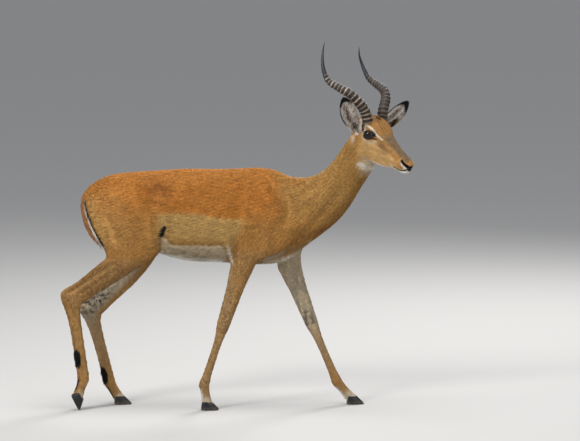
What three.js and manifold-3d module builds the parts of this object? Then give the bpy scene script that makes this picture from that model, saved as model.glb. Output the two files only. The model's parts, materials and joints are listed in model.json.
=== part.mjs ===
// Impala ram, life size, caught in a slow walk with its head turned to its right.
//
// Frame: millimetres, +Z up, +X forward, +Y to the animal's left, floor at Z = 0.
// The flesh is lofted from sections, joined into one whole and parted into named pieces with thin gaps.
// Horns, eyes and hooves are solids of their own.

import * as THREE from "three";
import { mergeVertices } from "three/addons/utils/BufferGeometryUtils.js";
import Module from "manifold-3d";

const wasm = await Module();
wasm.setup();

// ---------------------------------------------------------------- driving dimensions (mm, degrees)
const WITHERS = 847; // height of the top line over the shoulders
const CHEST_DEPTH = 340; // withers to brisket
const CHEST_WIDTH = 234; // across the widest ribs
const RUMP = -404; // X of the rear end of the buttocks
const CHEST_END = 388; // X where the trunk loft ends inside the neck
const GAP = 0.35; // gap between parted pieces
const SIMPLIFY = 0.22; // slivers thinner than this are dropped from the joined skin
const HEAD_AT = [622, -78, 971]; // midpoint between the eyes
const HEAD_YAW = 42; // turn of the head to the right
const HEAD_PITCH = 32; // droop of the line from eye to nose tip
const MUZZLE = 188; // eye to the front of the lips
const EYE_RADIUS = 18;
const EYE_AT = [-1, 45.5, -2.5]; // eyeball centre in head axes: forward, outward, up
const HORN_RADIUS = 18.5; // at the root
const HORN_TIP = { left: 291, right: 318 }; // height of the tips above the eyes
const HORN_RINGS = 17;
const RING_HEIGHT = 2.2; // how far a ridge stands off the horn
const EAR_WIDTH = 62;
const EAR_WALL = 3.2; // thickness of the ear's leaf
const CLAW = { length: 62, width: 23, height: 27, apart: 14 }; // apart: from the foot's middle
const SHOULDER_SLIDE = { right: 0, left: 96 }; // how far the leg carries the shoulder's foot forward
const THIGH_SLIDE = { right: 0, left: 14 };
const NECK_PARTING = { at: [352, 0, 700], lean: -24 };
const HEAD_PARTING = { at: [-38, 0, -41], lean: -35 }; // in head axes

const rad = THREE.MathUtils.degToRad;
const lerp = THREE.MathUtils.lerp;

// ---------------------------------------------------------------- solids and geometry
function solid(geometry, matrix = new THREE.Matrix4()) {
  const plain = new THREE.BufferGeometry()
    .setAttribute("position", geometry.getAttribute("position").clone())
    .setIndex(geometry.getIndex());
  const merged = mergeVertices(plain.applyMatrix4(matrix), 1e-4);
  const vertProperties = merged.getAttribute("position").array;
  const triVerts = new Uint32Array(merged.getIndex().array);
  const body = new wasm.Manifold(new wasm.Mesh({ numProp: 3, vertProperties, triVerts }));
  if (body.volume() > 0) return body;
  triVerts.reverse(); // a mirrored skin comes out inside out
  return new wasm.Manifold(new wasm.Mesh({ numProp: 3, vertProperties, triVerts }));
}

function geometryOf(body) {
  const { vertProperties, triVerts } = body.simplify(SIMPLIFY).getMesh();
  const geometry = new THREE.BufferGeometry()
    .setAttribute("position", new THREE.BufferAttribute(new Float32Array(vertProperties), 3))
    .setIndex(new THREE.BufferAttribute(new Uint32Array(triVerts), 1));
  geometry.computeVertexNormals();
  return geometry;
}

// Rows of numbers read as a smooth curve: t runs from 0 to 1 over the rows.
function spline(rows, t) {
  const at = t * (rows.length - 1);
  const i = Math.min(Math.floor(at), rows.length - 2);
  const f = at - i;
  const row = (k) => rows[Math.max(0, Math.min(rows.length - 1, k))];
  return rows[i].map((b, n) => {
    const [a, c, d] = [row(i - 1)[n], row(i + 1)[n], row(i + 2)[n]];
    const slope = (c - a) / 2;
    const next = (d - b) / 2;
    const f2 = f * f;
    const f3 = f2 * f;
    return b * (2 * f3 - 3 * f2 + 1) + c * (3 * f2 - 2 * f3) + slope * (f3 - 2 * f2 + f) + next * (f3 - f2);
  });
}

// Joins rings of equal count into a closed skin. Each end gets a fan, or for a folded sheet a strip.
function skinOver(rings, folded = false) {
  const sides = rings[0].length;
  const points = rings.flat();
  const faces = [];
  for (let r = 0; r < rings.length - 1; r++) {
    for (let s = 0; s < sides; s++) {
      const a = r * sides + s;
      const b = r * sides + ((s + 1) % sides);
      faces.push(a, b, b + sides, a, b + sides, a + sides);
    }
  }
  const end = (rings.length - 1) * sides;
  if (folded) {
    for (let s = 0; s < sides / 2 - 1; s++) {
      const [a, b, c, d] = [s, s + 1, sides - 2 - s, sides - 1 - s];
      faces.push(a, c, b, a, d, c, end + a, end + b, end + c, end + a, end + c, end + d);
    }
  } else {
    const middle = (ring) => ring.reduce((sum, p) => sum.add(p), new THREE.Vector3()).divideScalar(sides);
    const first = points.push(middle(rings[0])) - 1;
    const last = points.push(middle(rings[rings.length - 1])) - 1;
    for (let s = 0; s < sides; s++) {
      const t = (s + 1) % sides;
      faces.push(first, t, s, last, end + s, end + t);
    }
  }
  return new THREE.BufferGeometry().setFromPoints(points).setIndex(faces);
}

// An egg-shaped section: upper and lower edge points in a side view, then half width, egg and squareness.
// egg > 0 widens it towards the upper edge, yaw turns it about the vertical.
function section(row, sides) {
  const [x1, z1, x2, z2, y, half, egg = 0, square = 2.2, yaw = 0] = row;
  const centre = new THREE.Vector3((x1 + x2) / 2, y, (z1 + z2) / 2);
  const up = new THREE.Vector3((x1 - x2) / 2, 0, (z1 - z2) / 2);
  const side = new THREE.Vector3(Math.sin(rad(yaw)), Math.cos(rad(yaw)), 0);
  const shape = (v) => Math.sign(v) * Math.abs(v) ** (2 / square);
  return Array.from({ length: sides }, (_, k) => {
    const turn = (2 * Math.PI * k) / sides;
    const high = shape(Math.sin(turn));
    const out = shape(Math.cos(turn)) * half * (1 + egg * high);
    return centre.clone().addScaledVector(side, out).addScaledVector(up, high);
  });
}

function loft(rows, steps, sides) {
  const full = rows.map((row) => Object.assign([0, 0, 0, 0, 0, 0, 0, 2.2, 0], row));
  const rings = Array.from({ length: steps + 1 }, (_, k) => section(spline(full, k / steps), sides));
  return skinOver(rings);
}

// ---------------------------------------------------------------- trunk, shoulders and thighs
// Each row: X, drop of the top line below the withers, depth as a share of the chest's,
// half width as a share of the chest's, egg.
const TRUNK = [
  [RUMP, 92, 0.16, 0.2, 0],
  [-392, 72, 0.34, 0.44, 0],
  [-352, 42, 0.56, 0.7, 0.05],
  [-300, 24, 0.7, 0.82, 0.05],
  [-230, 16, 0.79, 0.86, -0.02],
  [-150, 11, 0.85, 0.92, -0.08],
  [-70, 5, 0.945, 0.98, -0.12],
  [10, 5, 0.968, 1, -0.16],
  [90, 6, 0.972, 0.98, -0.22],
  [160, 1, 1.0, 0.9, -0.28],
  [215, 0, 1.012, 0.8, -0.3],
  [265, 7, 0.98, 0.7, -0.28],
  [315, 31, 0.86, 0.6, -0.2],
  [356, 42, 0.72, 0.46, -0.1],
  [CHEST_END, 70, 0.5, 0.26, 0],
];

function trunkLoft() {
  const rows = TRUNK.map(([x, drop, depth, width, egg]) => {
    const top = WITHERS - drop;
    return [x, top, x, top - depth * CHEST_DEPTH, 0, (width * CHEST_WIDTH) / 2, egg, 2.25];
  });
  return loft(rows, 20, 22);
}

// A muscle mass on the trunk's side: rows of front X, front Z, rear X, rear Z, middle Y and half width.
const THIGH = [
  [-236, 800, -318, 796, 36, 30],
  [-196, 768, -374, 758, 46, 50],
  [-158, 720, -398, 706, 54, 56],
  [-134, 664, -394, 652, 60, 54],
  [-130, 612, -370, 608, 64, 48],
  [-134, 572, -338, 566, 68, 41],
  [-146, 540, -322, 530, 70, 33],
  [-176, 512, -300, 504, 70, 21],
  [-206, 500, -276, 496, 70, 8],
];
const SHOULDER = [
  [246, 815, 196, 812, 26, 16],
  [276, 772, 168, 768, 48, 30],
  [312, 712, 138, 708, 60, 38],
  [344, 656, 122, 652, 64, 42],
  [350, 606, 110, 604, 66, 42],
  [308, 562, 108, 560, 70, 38],
  [236, 534, 114, 530, 76, 30],
  [200, 516, 134, 514, 77, 12],
];

// side is 1 on the left and -1 on the right; forward slides the lower rows along X with the leg.
function muscle(rows, side, forward = 0) {
  const placed = rows.map(([x1, z1, x2, z2, y, half], k) => {
    const slide = (forward * k) / (rows.length - 1);
    return [x1 + slide, z1, x2 + slide, z2, side * y, half, 0, 2.3];
  });
  return loft(placed, 8, 12);
}

// ---------------------------------------------------------------- neck
// Upper and lower edge in the side view, middle Y, half width, egg, squareness and yaw.
const NECK = [
  [262, 832, 300, 530, 0, 80, -0.15, 2.1, 0],
  [322, 814, 366, 562, 0, 77, -0.12, 2.1, 0],
  [372, 812, 424, 608, 0, 71, -0.08, 2.1, 2],
  [418, 826, 474, 646, -1, 62, -0.04, 2.1, 6],
  [456, 858, 518, 694, -4, 55, 0, 2.1, 10],
  [484, 897, 549, 748, -10, 51, 0, 2.1, 15],
  [508, 934, 578, 795, -18, 48, 0, 2.1, 20],
  [530, 965, 600, 832, -28, 46, 0, 2.1, 26],
  [556, 984, 616, 862, -40, 42, 0, 2.1, 32],
];

// ---------------------------------------------------------------- head
// In the head's own frame, x from the eyes to the nose: x, top, bottom, half width, egg, squareness.
const HEAD = [
  [-98, 2, -50, 18, 0, 2.1],
  [-85, 22, -72, 33, 0.05, 2.2],
  [-64, 37, -89, 42, 0.1, 2.2],
  [-40, 43, -99, 47, 0.18, 2.3],
  [-16, 43, -104, 51, 0.3, 2.4],
  [6, 38, -105, 52, 0.34, 2.4],
  [30, 31, -102, 45, 0.28, 2.3],
  [58, 25, -94, 35, 0.1, 2.2],
  [88, 18.5, -82, 28.5, 0.05, 2.2],
  [116, 13, -69, 25, 0.04, 2.2],
  [140, 10, -58, 24, 0.06, 2.3],
  [160, 9, -52, 24, 0.06, 2.4],
  [174, 6, -50, 20, 0.06, 2.4],
  [184, 0, -44, 14, 0.1, 2.3],
  [MUZZLE, -10, -34, 7, 0.1, 2.1],
];

const headMatrix = new THREE.Matrix4().compose(
  new THREE.Vector3(...HEAD_AT),
  new THREE.Quaternion().setFromEuler(new THREE.Euler(0, rad(HEAD_PITCH), -rad(HEAD_YAW), "ZYX")),
  new THREE.Vector3(1, 1, 1),
);
// The same place and turn without the droop: horns and ears are given along level axes.
const levelMatrix = new THREE.Matrix4().compose(
  new THREE.Vector3(...HEAD_AT),
  new THREE.Quaternion().setFromEuler(new THREE.Euler(0, 0, -rad(HEAD_YAW), "ZYX")),
  new THREE.Vector3(1, 1, 1),
);

function headLoft() {
  const rows = HEAD.map(([x, top, bottom, half, egg, square]) => [x, top, x, bottom, 0, half, egg, square]);
  return loft(rows, 18, 22);
}

// ---------------------------------------------------------------- horns
// Centre line in level head axes: forward, outward, up.
const HORN_PATH = [
  [-16, 37, 40],
  [-20, 50, 82],
  [-31, 74, 114],
  [-52, 91, 140],
  [-95, 100, 160],
  [-137, 106, 180],
  [-158, 105, 210],
  [-169, 102, 250],
  [-172, 96, 286],
];

function hornLoft(side, grow = 0) {
  const tip = HORN_TIP[side > 0 ? "left" : "right"];
  const shorter = tip - HORN_TIP.right; // a worn tip ends lower on the same line
  const rows = HORN_PATH.map(([x, y, z], k) => [x, y, k > 7 ? z + shorter : k > 6 ? z + shorter / 2 : z]);
  const points = [...rows, [-169, 91, tip]].map(([x, y, z]) => new THREE.Vector3(x, side * y, z));
  const path = new THREE.CatmullRomCurve3(points);
  const ringed = 0.7; // share of the horn that carries ridges
  const step = ringed / HORN_RINGS;
  const stations = [[0, 0]];
  for (let k = 0; k < HORN_RINGS; k++) {
    const from = 0.02 + step * k;
    stations.push([from, 0], [from + 0.62 * step, 1]);
  }
  for (const t of [0.74, 0.79, 0.84, 0.89, 0.94, 0.98, 1]) stations.push([t, 0]);
  const rings = stations.map(([t, ridge]) => {
    const along = path.getTangentAt(t);
    const outward = new THREE.Vector3(0, side, 0);
    const across = outward.addScaledVector(along, -outward.dot(along)).normalize();
    const front = new THREE.Vector3().crossVectors(along, across);
    const fade = THREE.MathUtils.clamp((0.8 - t) / 0.25, 0.3, 1);
    const taper = (1 - t) ** 0.75 * (1 + 0.13 * Math.sin(Math.PI * Math.min(1, t / 0.75)));
    const radius = Math.max(HORN_RADIUS * taper, 1.3) + grow + (ridge ? fade : -fade) * 0.5 * RING_HEIGHT;
    const centre = path.getPointAt(t).addScaledVector(along, t ? 0 : -2 * grow);
    return Array.from({ length: 8 }, (_, s) => {
      const turn = (2 * Math.PI * s) / 8;
      return centre
        .clone()
        .addScaledVector(across, 0.94 * radius * Math.cos(turn))
        .addScaledVector(front, 1.06 * radius * Math.sin(turn));
    });
  });
  return skinOver(rings);
}

// ---------------------------------------------------------------- ears
// A leaf-shaped cup along a bent line. Places and directions are in level head axes: forward,
// outward, up. open is the way the cup faces.
const EARS = {
  right: { side: -1, root: [-60, 40, 10], bend: [-46, 100, 54], tip: [-33, 148, 133], open: [0.86, 0.3, -0.42] },
  left: { side: 1, root: [-60, 40, 6], bend: [-30, 104, 28], tip: [0, 158, 104], open: [0.8, -0.16, -0.4] },
};

function earLoft({ side, root, bend, tip, open }, grow = 0) {
  const place = ([x, y, z]) => new THREE.Vector3(x, side * y, z);
  const line = new THREE.QuadraticBezierCurve3(place(root), place(bend), place(tip));
  const steps = 9;
  const half = 6; // spans across each face of the cup
  const rings = Array.from({ length: steps + 1 }, (_, k) => {
    const t = k / steps;
    const along = line.getTangent(t);
    const facing = place(open);
    facing.addScaledVector(along, -facing.dot(along)).normalize();
    const across = new THREE.Vector3().crossVectors(along, facing);
    const leaf = Math.sin(Math.PI * (0.15 + 0.83 * t ** 1.15)) ** 0.75;
    const wrap = rad(lerp(105, 40, Math.min(1, t * 2.4))); // how far the cup curls round
    const curl = ((EAR_WIDTH / 2) * leaf) / Math.sin(Math.min(wrap, Math.PI / 2));
    const wall = EAR_WALL * lerp(1.5, 0.75, t);
    const centre = line.getPoint(t).addScaledVector(facing, curl * Math.cos(wrap) + 0.5 * wall);
    centre.addScaledVector(along, k ? 0 : -2 * grow);
    const ring = [];
    const edge = grow / curl;
    for (let s = 0; s <= half; s++) ring.push([curl + grow, lerp(-wrap - edge, wrap + edge, s / half)]);
    for (let s = half; s >= 0; s--) ring.push([curl - wall - grow, lerp(-wrap - edge, wrap + edge, s / half)]);
    return ring.map(([r, turn]) =>
      centre
        .clone()
        .addScaledVector(across, r * Math.sin(turn))
        .addScaledVector(facing, -r * Math.cos(turn)),
    );
  });
  return skinOver(rings, true);
}

// ---------------------------------------------------------------- legs
// Joints from top to bottom, then girths: place along the joints, half depth in front and behind, half width.
const LEGS = {
  foreleg_right: {
    side: -1,
    joints: [[178, 79, 610], [156, 81, 536], [80, 77, 291], [15, 74, 89], [27, 73, 14]],
    girths: "fore",
  },
  foreleg_left: {
    side: 1,
    joints: [[322, 79, 590], [303, 79, 512], [395, 76, 279], [481, 73, 80], [536, 72, 16]],
    girths: "fore",
  },
  hindleg_right: {
    side: -1,
    joints: [[-196, 74, 566], [-306, 72, 494], [-448, 66, 390], [-406, 69, 108], [-426, 69, 50]],
    girths: "hind",
  },
  hindleg_left: {
    side: 1,
    joints: [[-190, 74, 540], [-270, 72, 455], [-386, 66, 332], [-320, 69, 76], [-284, 69, 16]],
    girths: "hind",
  },
};
const GIRTHS = {
  fore: [
    [0, 40, 42, 18],
    [0.5, 50, 48, 27],
    [1, 47, 43, 31],
    [1.2, 39, 38, 28],
    [1.45, 31, 30, 24],
    [1.7, 26, 26, 20.5],
    [1.88, 23, 24, 19],
    [2, 21, 22, 18.5],
    [2.1, 17.5, 18, 15.5],
    [2.25, 14.5, 14.5, 12.5],
    [2.5, 13.5, 14, 11.5],
    [2.8, 14, 15, 12.5],
    [2.93, 16.5, 18, 15],
    [3.05, 17, 19, 16],
    [3.3, 14, 16, 15],
    [3.65, 15, 17, 17.5],
    [4, 18, 20, 20],
  ],
  hind: [
    [0, 40, 44, 20],
    [0.5, 46, 50, 29],
    [1, 46, 46, 30],
    [1.3, 42, 42, 24],
    [1.6, 38, 38, 19],
    [1.82, 38, 40, 17.5],
    [1.95, 38, 49, 18],
    [2.04, 34, 42, 19],
    [2.12, 26, 31, 17],
    [2.25, 21.5, 23, 14.5],
    [2.5, 20.5, 20.5, 13],
    [2.8, 20, 21, 13],
    [2.93, 20, 21.5, 15],
    [3.05, 19, 21, 16],
    [3.35, 16, 18, 15],
    [3.65, 16, 18, 16.5],
    [4, 18, 19, 19],
  ],
};

const jointsOf = ({ side, joints }) => joints.map(([x, y, z]) => new THREE.Vector3(x, side * y, z));

function limbLoft(leg, grow = 0, steps = 20, sides = 10) {
  const points = jointsOf(leg);
  const aim = (k) => points[k + 1].clone().sub(points[k]).normalize();
  const last = points.length - 2;
  const blend = 0.22; // share of a segment over which the sections turn at a joint
  const rings = Array.from({ length: steps + 1 }, (_, n) => {
    const [at, front, back, half] = spline(GIRTHS[leg.girths], n / steps);
    const k = Math.max(0, Math.min(last, Math.floor(at)));
    const f = at - k;
    const along = aim(k);
    const centre = points[k].clone().lerp(points[k + 1], f).addScaledVector(along, n ? 0 : -2 * grow);
    if (f < blend && k > 0) along.lerp(aim(k - 1), 0.5 - (0.5 * f) / blend).normalize();
    if (f > 1 - blend && k < last) along.lerp(aim(k + 1), 0.5 - (0.5 * (1 - f)) / blend).normalize();
    const ahead = new THREE.Vector3().crossVectors(along, new THREE.Vector3(0, 1, 0)).normalize();
    const across = new THREE.Vector3().crossVectors(ahead, along);
    return Array.from({ length: sides }, (_, s) => {
      const turn = (2 * Math.PI * (s + 0.5)) / sides;
      const fore = Math.sin(turn);
      return centre
        .clone()
        .addScaledVector(across, (half + grow) * 1.03 * Math.cos(turn))
        .addScaledVector(ahead, fore * 1.03 * ((fore > 0 ? front : back) + grow));
    });
  });
  return skinOver(rings);
}

// ---------------------------------------------------------------- hooves
// One claw, pointing +X, sole at Z = 0, its coronet above the origin.
function clawLoft(inward, grow = 0) {
  const { length, width, height } = CLAW;
  const rows = [
    // height share, rear X share, front X share, half width share
    [0, -0.34, 0.63, 0.9],
    [0.16, -0.36, 0.62, 1],
    [0.6, -0.35, 0.42, 0.98],
    [1.1, -0.3, 0.2, 0.84],
  ];
  const rings = rows.map(([up, rear, front, wide], k) =>
    Array.from({ length: 10 }, (_, s) => {
      const turn = (2 * Math.PI * s) / 10;
      const fore = Math.cos(turn);
      const x = ((rear + front) / 2 + ((front - rear) / 2) * fore) * length;
      const side = (width / 2) * wide * Math.sin(turn) * (1 - 0.4 * fore);
      const lean = inward * 0.05 * width * (1 + fore); // the toes bend a little towards each other
      const out = new THREE.Vector3(x, side + lean, 0);
      out.addScaledVector(new THREE.Vector3(fore, Math.sin(turn), 0), grow);
      out.z = up * height + (k === rows.length - 1 ? grow : k ? 0 : -grow);
      return out;
    }),
  );
  return skinOver(rings);
}

// Each foot: the middle of its soles, how far it is tipped onto its toes and how far it points outward.
const FEET = {
  fore_right: { at: [27, -73], tip: 0, splay: -5 },
  fore_left: { at: [537, 72], tip: 0, splay: 4 },
  hind_right: { at: [-440, -69], tip: 64, splay: -3 },
  hind_left: { at: [-283, 69], tip: 0, splay: 4 },
};
const SINK = 1.6; // a tipped toe is pressed this far into the floor and cut flat

// ---------------------------------------------------------------- tail
const TAIL = [
  [-368, 786, -366, 764, 0, 13],
  [-396, 773, -382, 750, 0, 18],
  [-413, 745, -396, 735, 0, 19],
  [-419, 708, -401, 706, 0, 19],
  [-412, 662, -393, 668, 0, 20],
  [-396, 618, -376, 628, 0, 19],
  [-372, 584, -355, 596, 0, 15],
  [-350, 556, -339, 566, 0, 8],
];

// ---------------------------------------------------------------- the whole, and its parting
const finish = (color, roughness = 0.85) => () =>
  new THREE.MeshStandardMaterial({ color, roughness, metalness: 0 });
const COAT = finish(0xa8672f);
const LEG = finish(0xa9783f);
const TAIL_HAIR = finish(0xb06a30);
const EAR_HAIR = finish(0x9c7048);
const HORN = finish(0x2c2724, 0.5);
const HOOF = finish(0x17181b, 0.4);
const EYE = finish(0x0c0807, 0.08);

const impala = new THREE.Group();
impala.name = "impala";

function addMesh(name, body, material) {
  const geometry = geometryOf(body);
  geometry.computeBoundingBox();
  const middle = geometry.boundingBox.getCenter(new THREE.Vector3());
  geometry.translate(-middle.x, -middle.y, -middle.z);
  const mesh = new THREE.Mesh(geometry, material());
  mesh.name = name;
  mesh.position.copy(middle);
  impala.add(mesh);
}

// Parts a body at a plane: [the side the plane's normal points to, the other side]. The normal is
// +X turned down by lean degrees.
function part(body, [x, y, z], lean, frame = new THREE.Matrix4(), size = 700) {
  const block = (shift) => {
    const place = new THREE.Matrix4()
      .makeTranslation(x, y, z)
      .multiply(new THREE.Matrix4().makeRotationY(rad(lean)))
      .multiply(new THREE.Matrix4().makeTranslation(size / 2 + shift, 0, 0));
    return solid(new THREE.BoxGeometry(size, size, size), frame.clone().multiply(place));
  };
  return [body.intersect(block(GAP / 2)), body.subtract(block(-GAP / 2))];
}

const ball = (centre, radii, frame) =>
  solid(
    new THREE.SphereGeometry(1, 14, 8),
    frame.clone().multiply(
      new THREE.Matrix4().compose(
        new THREE.Vector3(...centre),
        new THREE.Quaternion(),
        new THREE.Vector3(...radii),
      ),
    ),
  );
const floor = solid(
  new THREE.BoxGeometry(2400, 800, 200),
  new THREE.Matrix4().makeTranslation(0, 0, -100),
);

// Hooves: two claws on each foot.
const claws = {};
const clawRooms = {};
for (const [foot, { at, tip, splay }] of Object.entries(FEET)) {
  for (const [name, inward] of [["left", -1], ["right", 1]]) {
    const place = new THREE.Matrix4()
      .makeRotationZ(rad(splay))
      .multiply(new THREE.Matrix4().makeRotationY(rad(tip)))
      .multiply(new THREE.Matrix4().makeTranslation(0, -inward * CLAW.apart, 0));
    const shape = clawLoft(inward).applyMatrix4(place);
    shape.computeBoundingBox();
    const drop = tip ? -shape.boundingBox.min.z - SINK : 0;
    const stand = new THREE.Matrix4().makeTranslation(at[0], at[1], drop);
    const claw = solid(shape, stand);
    claws[`hoof_${foot}_${name}`] = tip ? claw.subtract(floor) : claw;
    clawRooms[foot] = (clawRooms[foot] ?? []).concat(
      solid(clawLoft(inward, GAP).applyMatrix4(place), stand),
    );
  }
}

// Flesh of the body, before the parting.
let body = solid(trunkLoft()).add(solid(loft(NECK, 9, 18))).add(solid(headLoft(), headMatrix));
for (const [name, side] of [["right", -1], ["left", 1]]) {
  body = body.add(solid(muscle(SHOULDER, side, SHOULDER_SLIDE[name])));
  body = body.add(solid(muscle(THIGH, side, THIGH_SLIDE[name])));
}
for (const leg of Object.values(LEGS)) body = body.subtract(solid(limbLoft(leg, GAP)));

// Tail, in a seat of its own.
const tail = solid(loft(TAIL, 8, 10));
const seat = TAIL.map(([x1, z1, x2, z2, y, half], k) => {
  const [ux, uz] = [x1 - x2, z1 - z2];
  const grow = (GAP * 3) / Math.hypot(ux, uz);
  const ahead = k ? 0 : 2; // the seat starts deeper than the tail
  return [x1 + ux * grow + ahead, z1 + uz * grow, x2 - ux * grow + ahead, z2 - uz * grow, y, half + 2 * GAP];
});
body = body.subtract(solid(loft(seat, 8, 10)));

// Head pieces, each in a seat of its own. The eyes sit in almond hollows.
for (const side of [1, -1]) {
  const eye = [EYE_AT[0], side * EYE_AT[1], EYE_AT[2]];
  const tilt = new THREE.Matrix4().makeTranslation(...eye).multiply(
    new THREE.Matrix4().makeRotationY(rad(-22)),
  );
  const hollow = ball([5, side * 19, 0], [22, 13, 16], headMatrix.clone().multiply(tilt));
  const room = ball(eye, new Array(3).fill(EYE_RADIUS + GAP + 0.3), headMatrix);
  body = body.subtract(hollow).subtract(room);
  body = body.subtract(solid(hornLoft(side, GAP * 1.3), levelMatrix));
}
for (const ear of Object.values(EARS)) body = body.subtract(solid(earLoft(ear, GAP * 1.3), levelMatrix));

const [head, rest] = part(body, HEAD_PARTING.at, HEAD_PARTING.lean, headMatrix);
const [neck, trunk] = part(rest, NECK_PARTING.at, NECK_PARTING.lean);
addMesh("trunk", trunk, COAT);
addMesh("neck", neck, COAT);
addMesh("head", head, COAT);
addMesh("tail", tail, TAIL_HAIR);
for (const [name, side] of [["left", 1], ["right", -1]]) {
  addMesh(`ear_${name}`, solid(earLoft(EARS[name]), levelMatrix), EAR_HAIR);
  addMesh(`horn_${name}`, solid(hornLoft(side), levelMatrix), HORN);
  addMesh(`eye_${name}`, ball([EYE_AT[0], side * EYE_AT[1], EYE_AT[2]], new Array(3).fill(EYE_RADIUS), headMatrix), EYE);
}
for (const [name, leg] of Object.entries(LEGS)) {
  const points = jointsOf(leg);
  const down = points[3].clone().sub(points[1]).normalize();
  const foot = name.replace("leg", "");
  const limb = clawRooms[foot].reduce((a, b) => a.subtract(b), solid(limbLoft(leg)));
  const lean = THREE.MathUtils.radToDeg(Math.atan2(-down.z, down.x));
  const [lower, upper] = part(limb, points[2].toArray(), lean, new THREE.Matrix4(), 500);
  addMesh(`${name}_upper`, upper, LEG);
  addMesh(`${name}_lower`, lower, LEG);
}
for (const [name, claw] of Object.entries(claws)) addMesh(name, claw, HOOF);

// The origin: the middle of the whole, on the floor.
const whole = new THREE.Box3().setFromObject(impala);
const middle = whole.getCenter(new THREE.Vector3());
impala.position.set(-middle.x, -middle.y, -whole.min.z);

export default impala;
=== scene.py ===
# %% [markdown]
# # An impala ram in a slow walk
# The solids of the animal come in as a fixed frame: flesh, horns, eyes and hooves, at life size.
# This lesson turns them into a living surface. One skin is grown over the flesh, modelled, painted
# with the species' markings and covered with short locks of hair. Horns, hooves and eyes are made
# finer. All lengths in the lesson are millimetres on the animal, and only Blender sees metres.

# %% Load the frame
import json
import math
from contextlib import contextmanager

import bpy
import numpy as np
from mathutils import Matrix, Vector

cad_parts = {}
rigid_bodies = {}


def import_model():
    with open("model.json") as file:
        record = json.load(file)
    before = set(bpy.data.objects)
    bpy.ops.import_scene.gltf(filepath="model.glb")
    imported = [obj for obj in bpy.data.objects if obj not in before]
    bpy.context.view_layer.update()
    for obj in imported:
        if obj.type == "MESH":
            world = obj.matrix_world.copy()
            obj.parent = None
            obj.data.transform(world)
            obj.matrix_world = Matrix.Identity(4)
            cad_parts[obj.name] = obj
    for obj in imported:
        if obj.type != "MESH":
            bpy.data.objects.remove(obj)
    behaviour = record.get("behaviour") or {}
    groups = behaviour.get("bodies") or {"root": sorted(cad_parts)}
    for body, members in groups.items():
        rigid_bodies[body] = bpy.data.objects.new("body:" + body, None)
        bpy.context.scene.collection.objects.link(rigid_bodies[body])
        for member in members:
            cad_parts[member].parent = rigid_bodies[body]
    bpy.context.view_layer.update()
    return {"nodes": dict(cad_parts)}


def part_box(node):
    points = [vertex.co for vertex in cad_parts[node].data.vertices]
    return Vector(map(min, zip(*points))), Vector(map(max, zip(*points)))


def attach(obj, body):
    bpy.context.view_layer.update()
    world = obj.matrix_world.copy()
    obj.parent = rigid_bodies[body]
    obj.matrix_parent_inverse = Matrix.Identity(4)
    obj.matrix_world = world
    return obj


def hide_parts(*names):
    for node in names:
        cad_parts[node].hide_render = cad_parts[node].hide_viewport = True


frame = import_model()
rng = np.random.default_rng(7)
print("nodes:", ", ".join(sorted(frame["nodes"])))

# %% [markdown]
# ## Places on the animal
# It is easier to think in millimetres, from the animal's middle plane and from the floor, than in
# the frame's metres. The rump and the trunk's width say where that middle plane lies. The head is
# turned and drooped, so it gets axes of its own: forward to the nose, left and up.

# %% Axes of the body and the head
trunk_low, trunk_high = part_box("trunk")
RUMP_X = -0.404  # the rump's place along the animal's own X axis
SHIFT = np.array([trunk_low.x - RUMP_X, (trunk_low.y + trunk_high.y) / 2, 0.0])
HEAD_AT = np.array([622.0, -78.0, 971.0])  # midpoint between the eyes, mm
HEAD_YAW, HEAD_PITCH = math.radians(42), math.radians(32)
level_axes = np.array(Matrix.Rotation(-HEAD_YAW, 3, "Z"))  # columns: forward, left, up
head_axes = level_axes @ np.array(Matrix.Rotation(HEAD_PITCH, 3, "Y"))


def to_mm(points):
    return (np.asarray(points) - SHIFT) * 1000


def to_m(points):
    return np.asarray(points) / 1000 + SHIFT


def in_head(points_mm):
    return (points_mm - HEAD_AT) @ head_axes


def from_head(points):
    return np.asarray(points, float) @ head_axes.T + HEAD_AT


def in_level(points_mm):
    return (points_mm - HEAD_AT) @ level_axes


def from_level(points):
    return np.asarray(points, float) @ level_axes.T + HEAD_AT


def step(low, high, value):
    """A soft step from 0 at low to 1 at high."""
    t = np.clip((value - low) / (high - low), 0, 1)
    return t * t * (3 - 2 * t)


print("middle plane at y =", round(SHIFT[1], 4), "m")

# %% [markdown]
# ## Camera, floor and light
# A long lens from about sixteen metres looks square on to the side of the animal and six degrees
# down. The floor is pale and plain, and large soft lamps give the even light of a studio.

# %% Camera
FIELD_WIDTH = 2.03  # metres across the picture at the animal
CAMERA_AWAY = 16.0
CAMERA_DOWN = math.radians(6)
SENSOR = 36  # width of the camera's sensor, mm


def new_object(name, data):
    """Puts a new object with this data into the scene."""
    made = bpy.data.objects.new(name, data)
    bpy.context.collection.objects.link(made)
    return made


aim = Vector(to_m([315, 0, 658.5]))
camera = new_object("camera", bpy.data.cameras.new("camera"))
looking = Vector((0, math.cos(CAMERA_DOWN), -math.sin(CAMERA_DOWN)))
camera.location = aim - looking * CAMERA_AWAY
camera.rotation_euler = looking.to_track_quat("-Z", "Y").to_euler()
camera.data.sensor_width = SENSOR
camera.data.lens = SENSOR * CAMERA_AWAY / FIELD_WIDTH
camera.data.clip_end = 100
bpy.context.scene.camera = camera
print("camera", round(camera.location.z, 2), "m above the floor")

# %% Floor and lamps
bpy.ops.object.select_all(action="DESELECT")
bpy.ops.mesh.primitive_plane_add(size=60, location=(0, 0, 0))
floor = bpy.context.object
floor.name = "floor"
floor_paint = bpy.data.materials.new("floor_paint")
floor_paint.use_nodes = True
floor_shader = floor_paint.node_tree.nodes["Principled BSDF"]
floor_shader.inputs["Base Color"].default_value = (0.46, 0.45, 0.43, 1)
floor_shader.inputs["Roughness"].default_value = 0.9
floor.data.materials.append(floor_paint)

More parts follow.
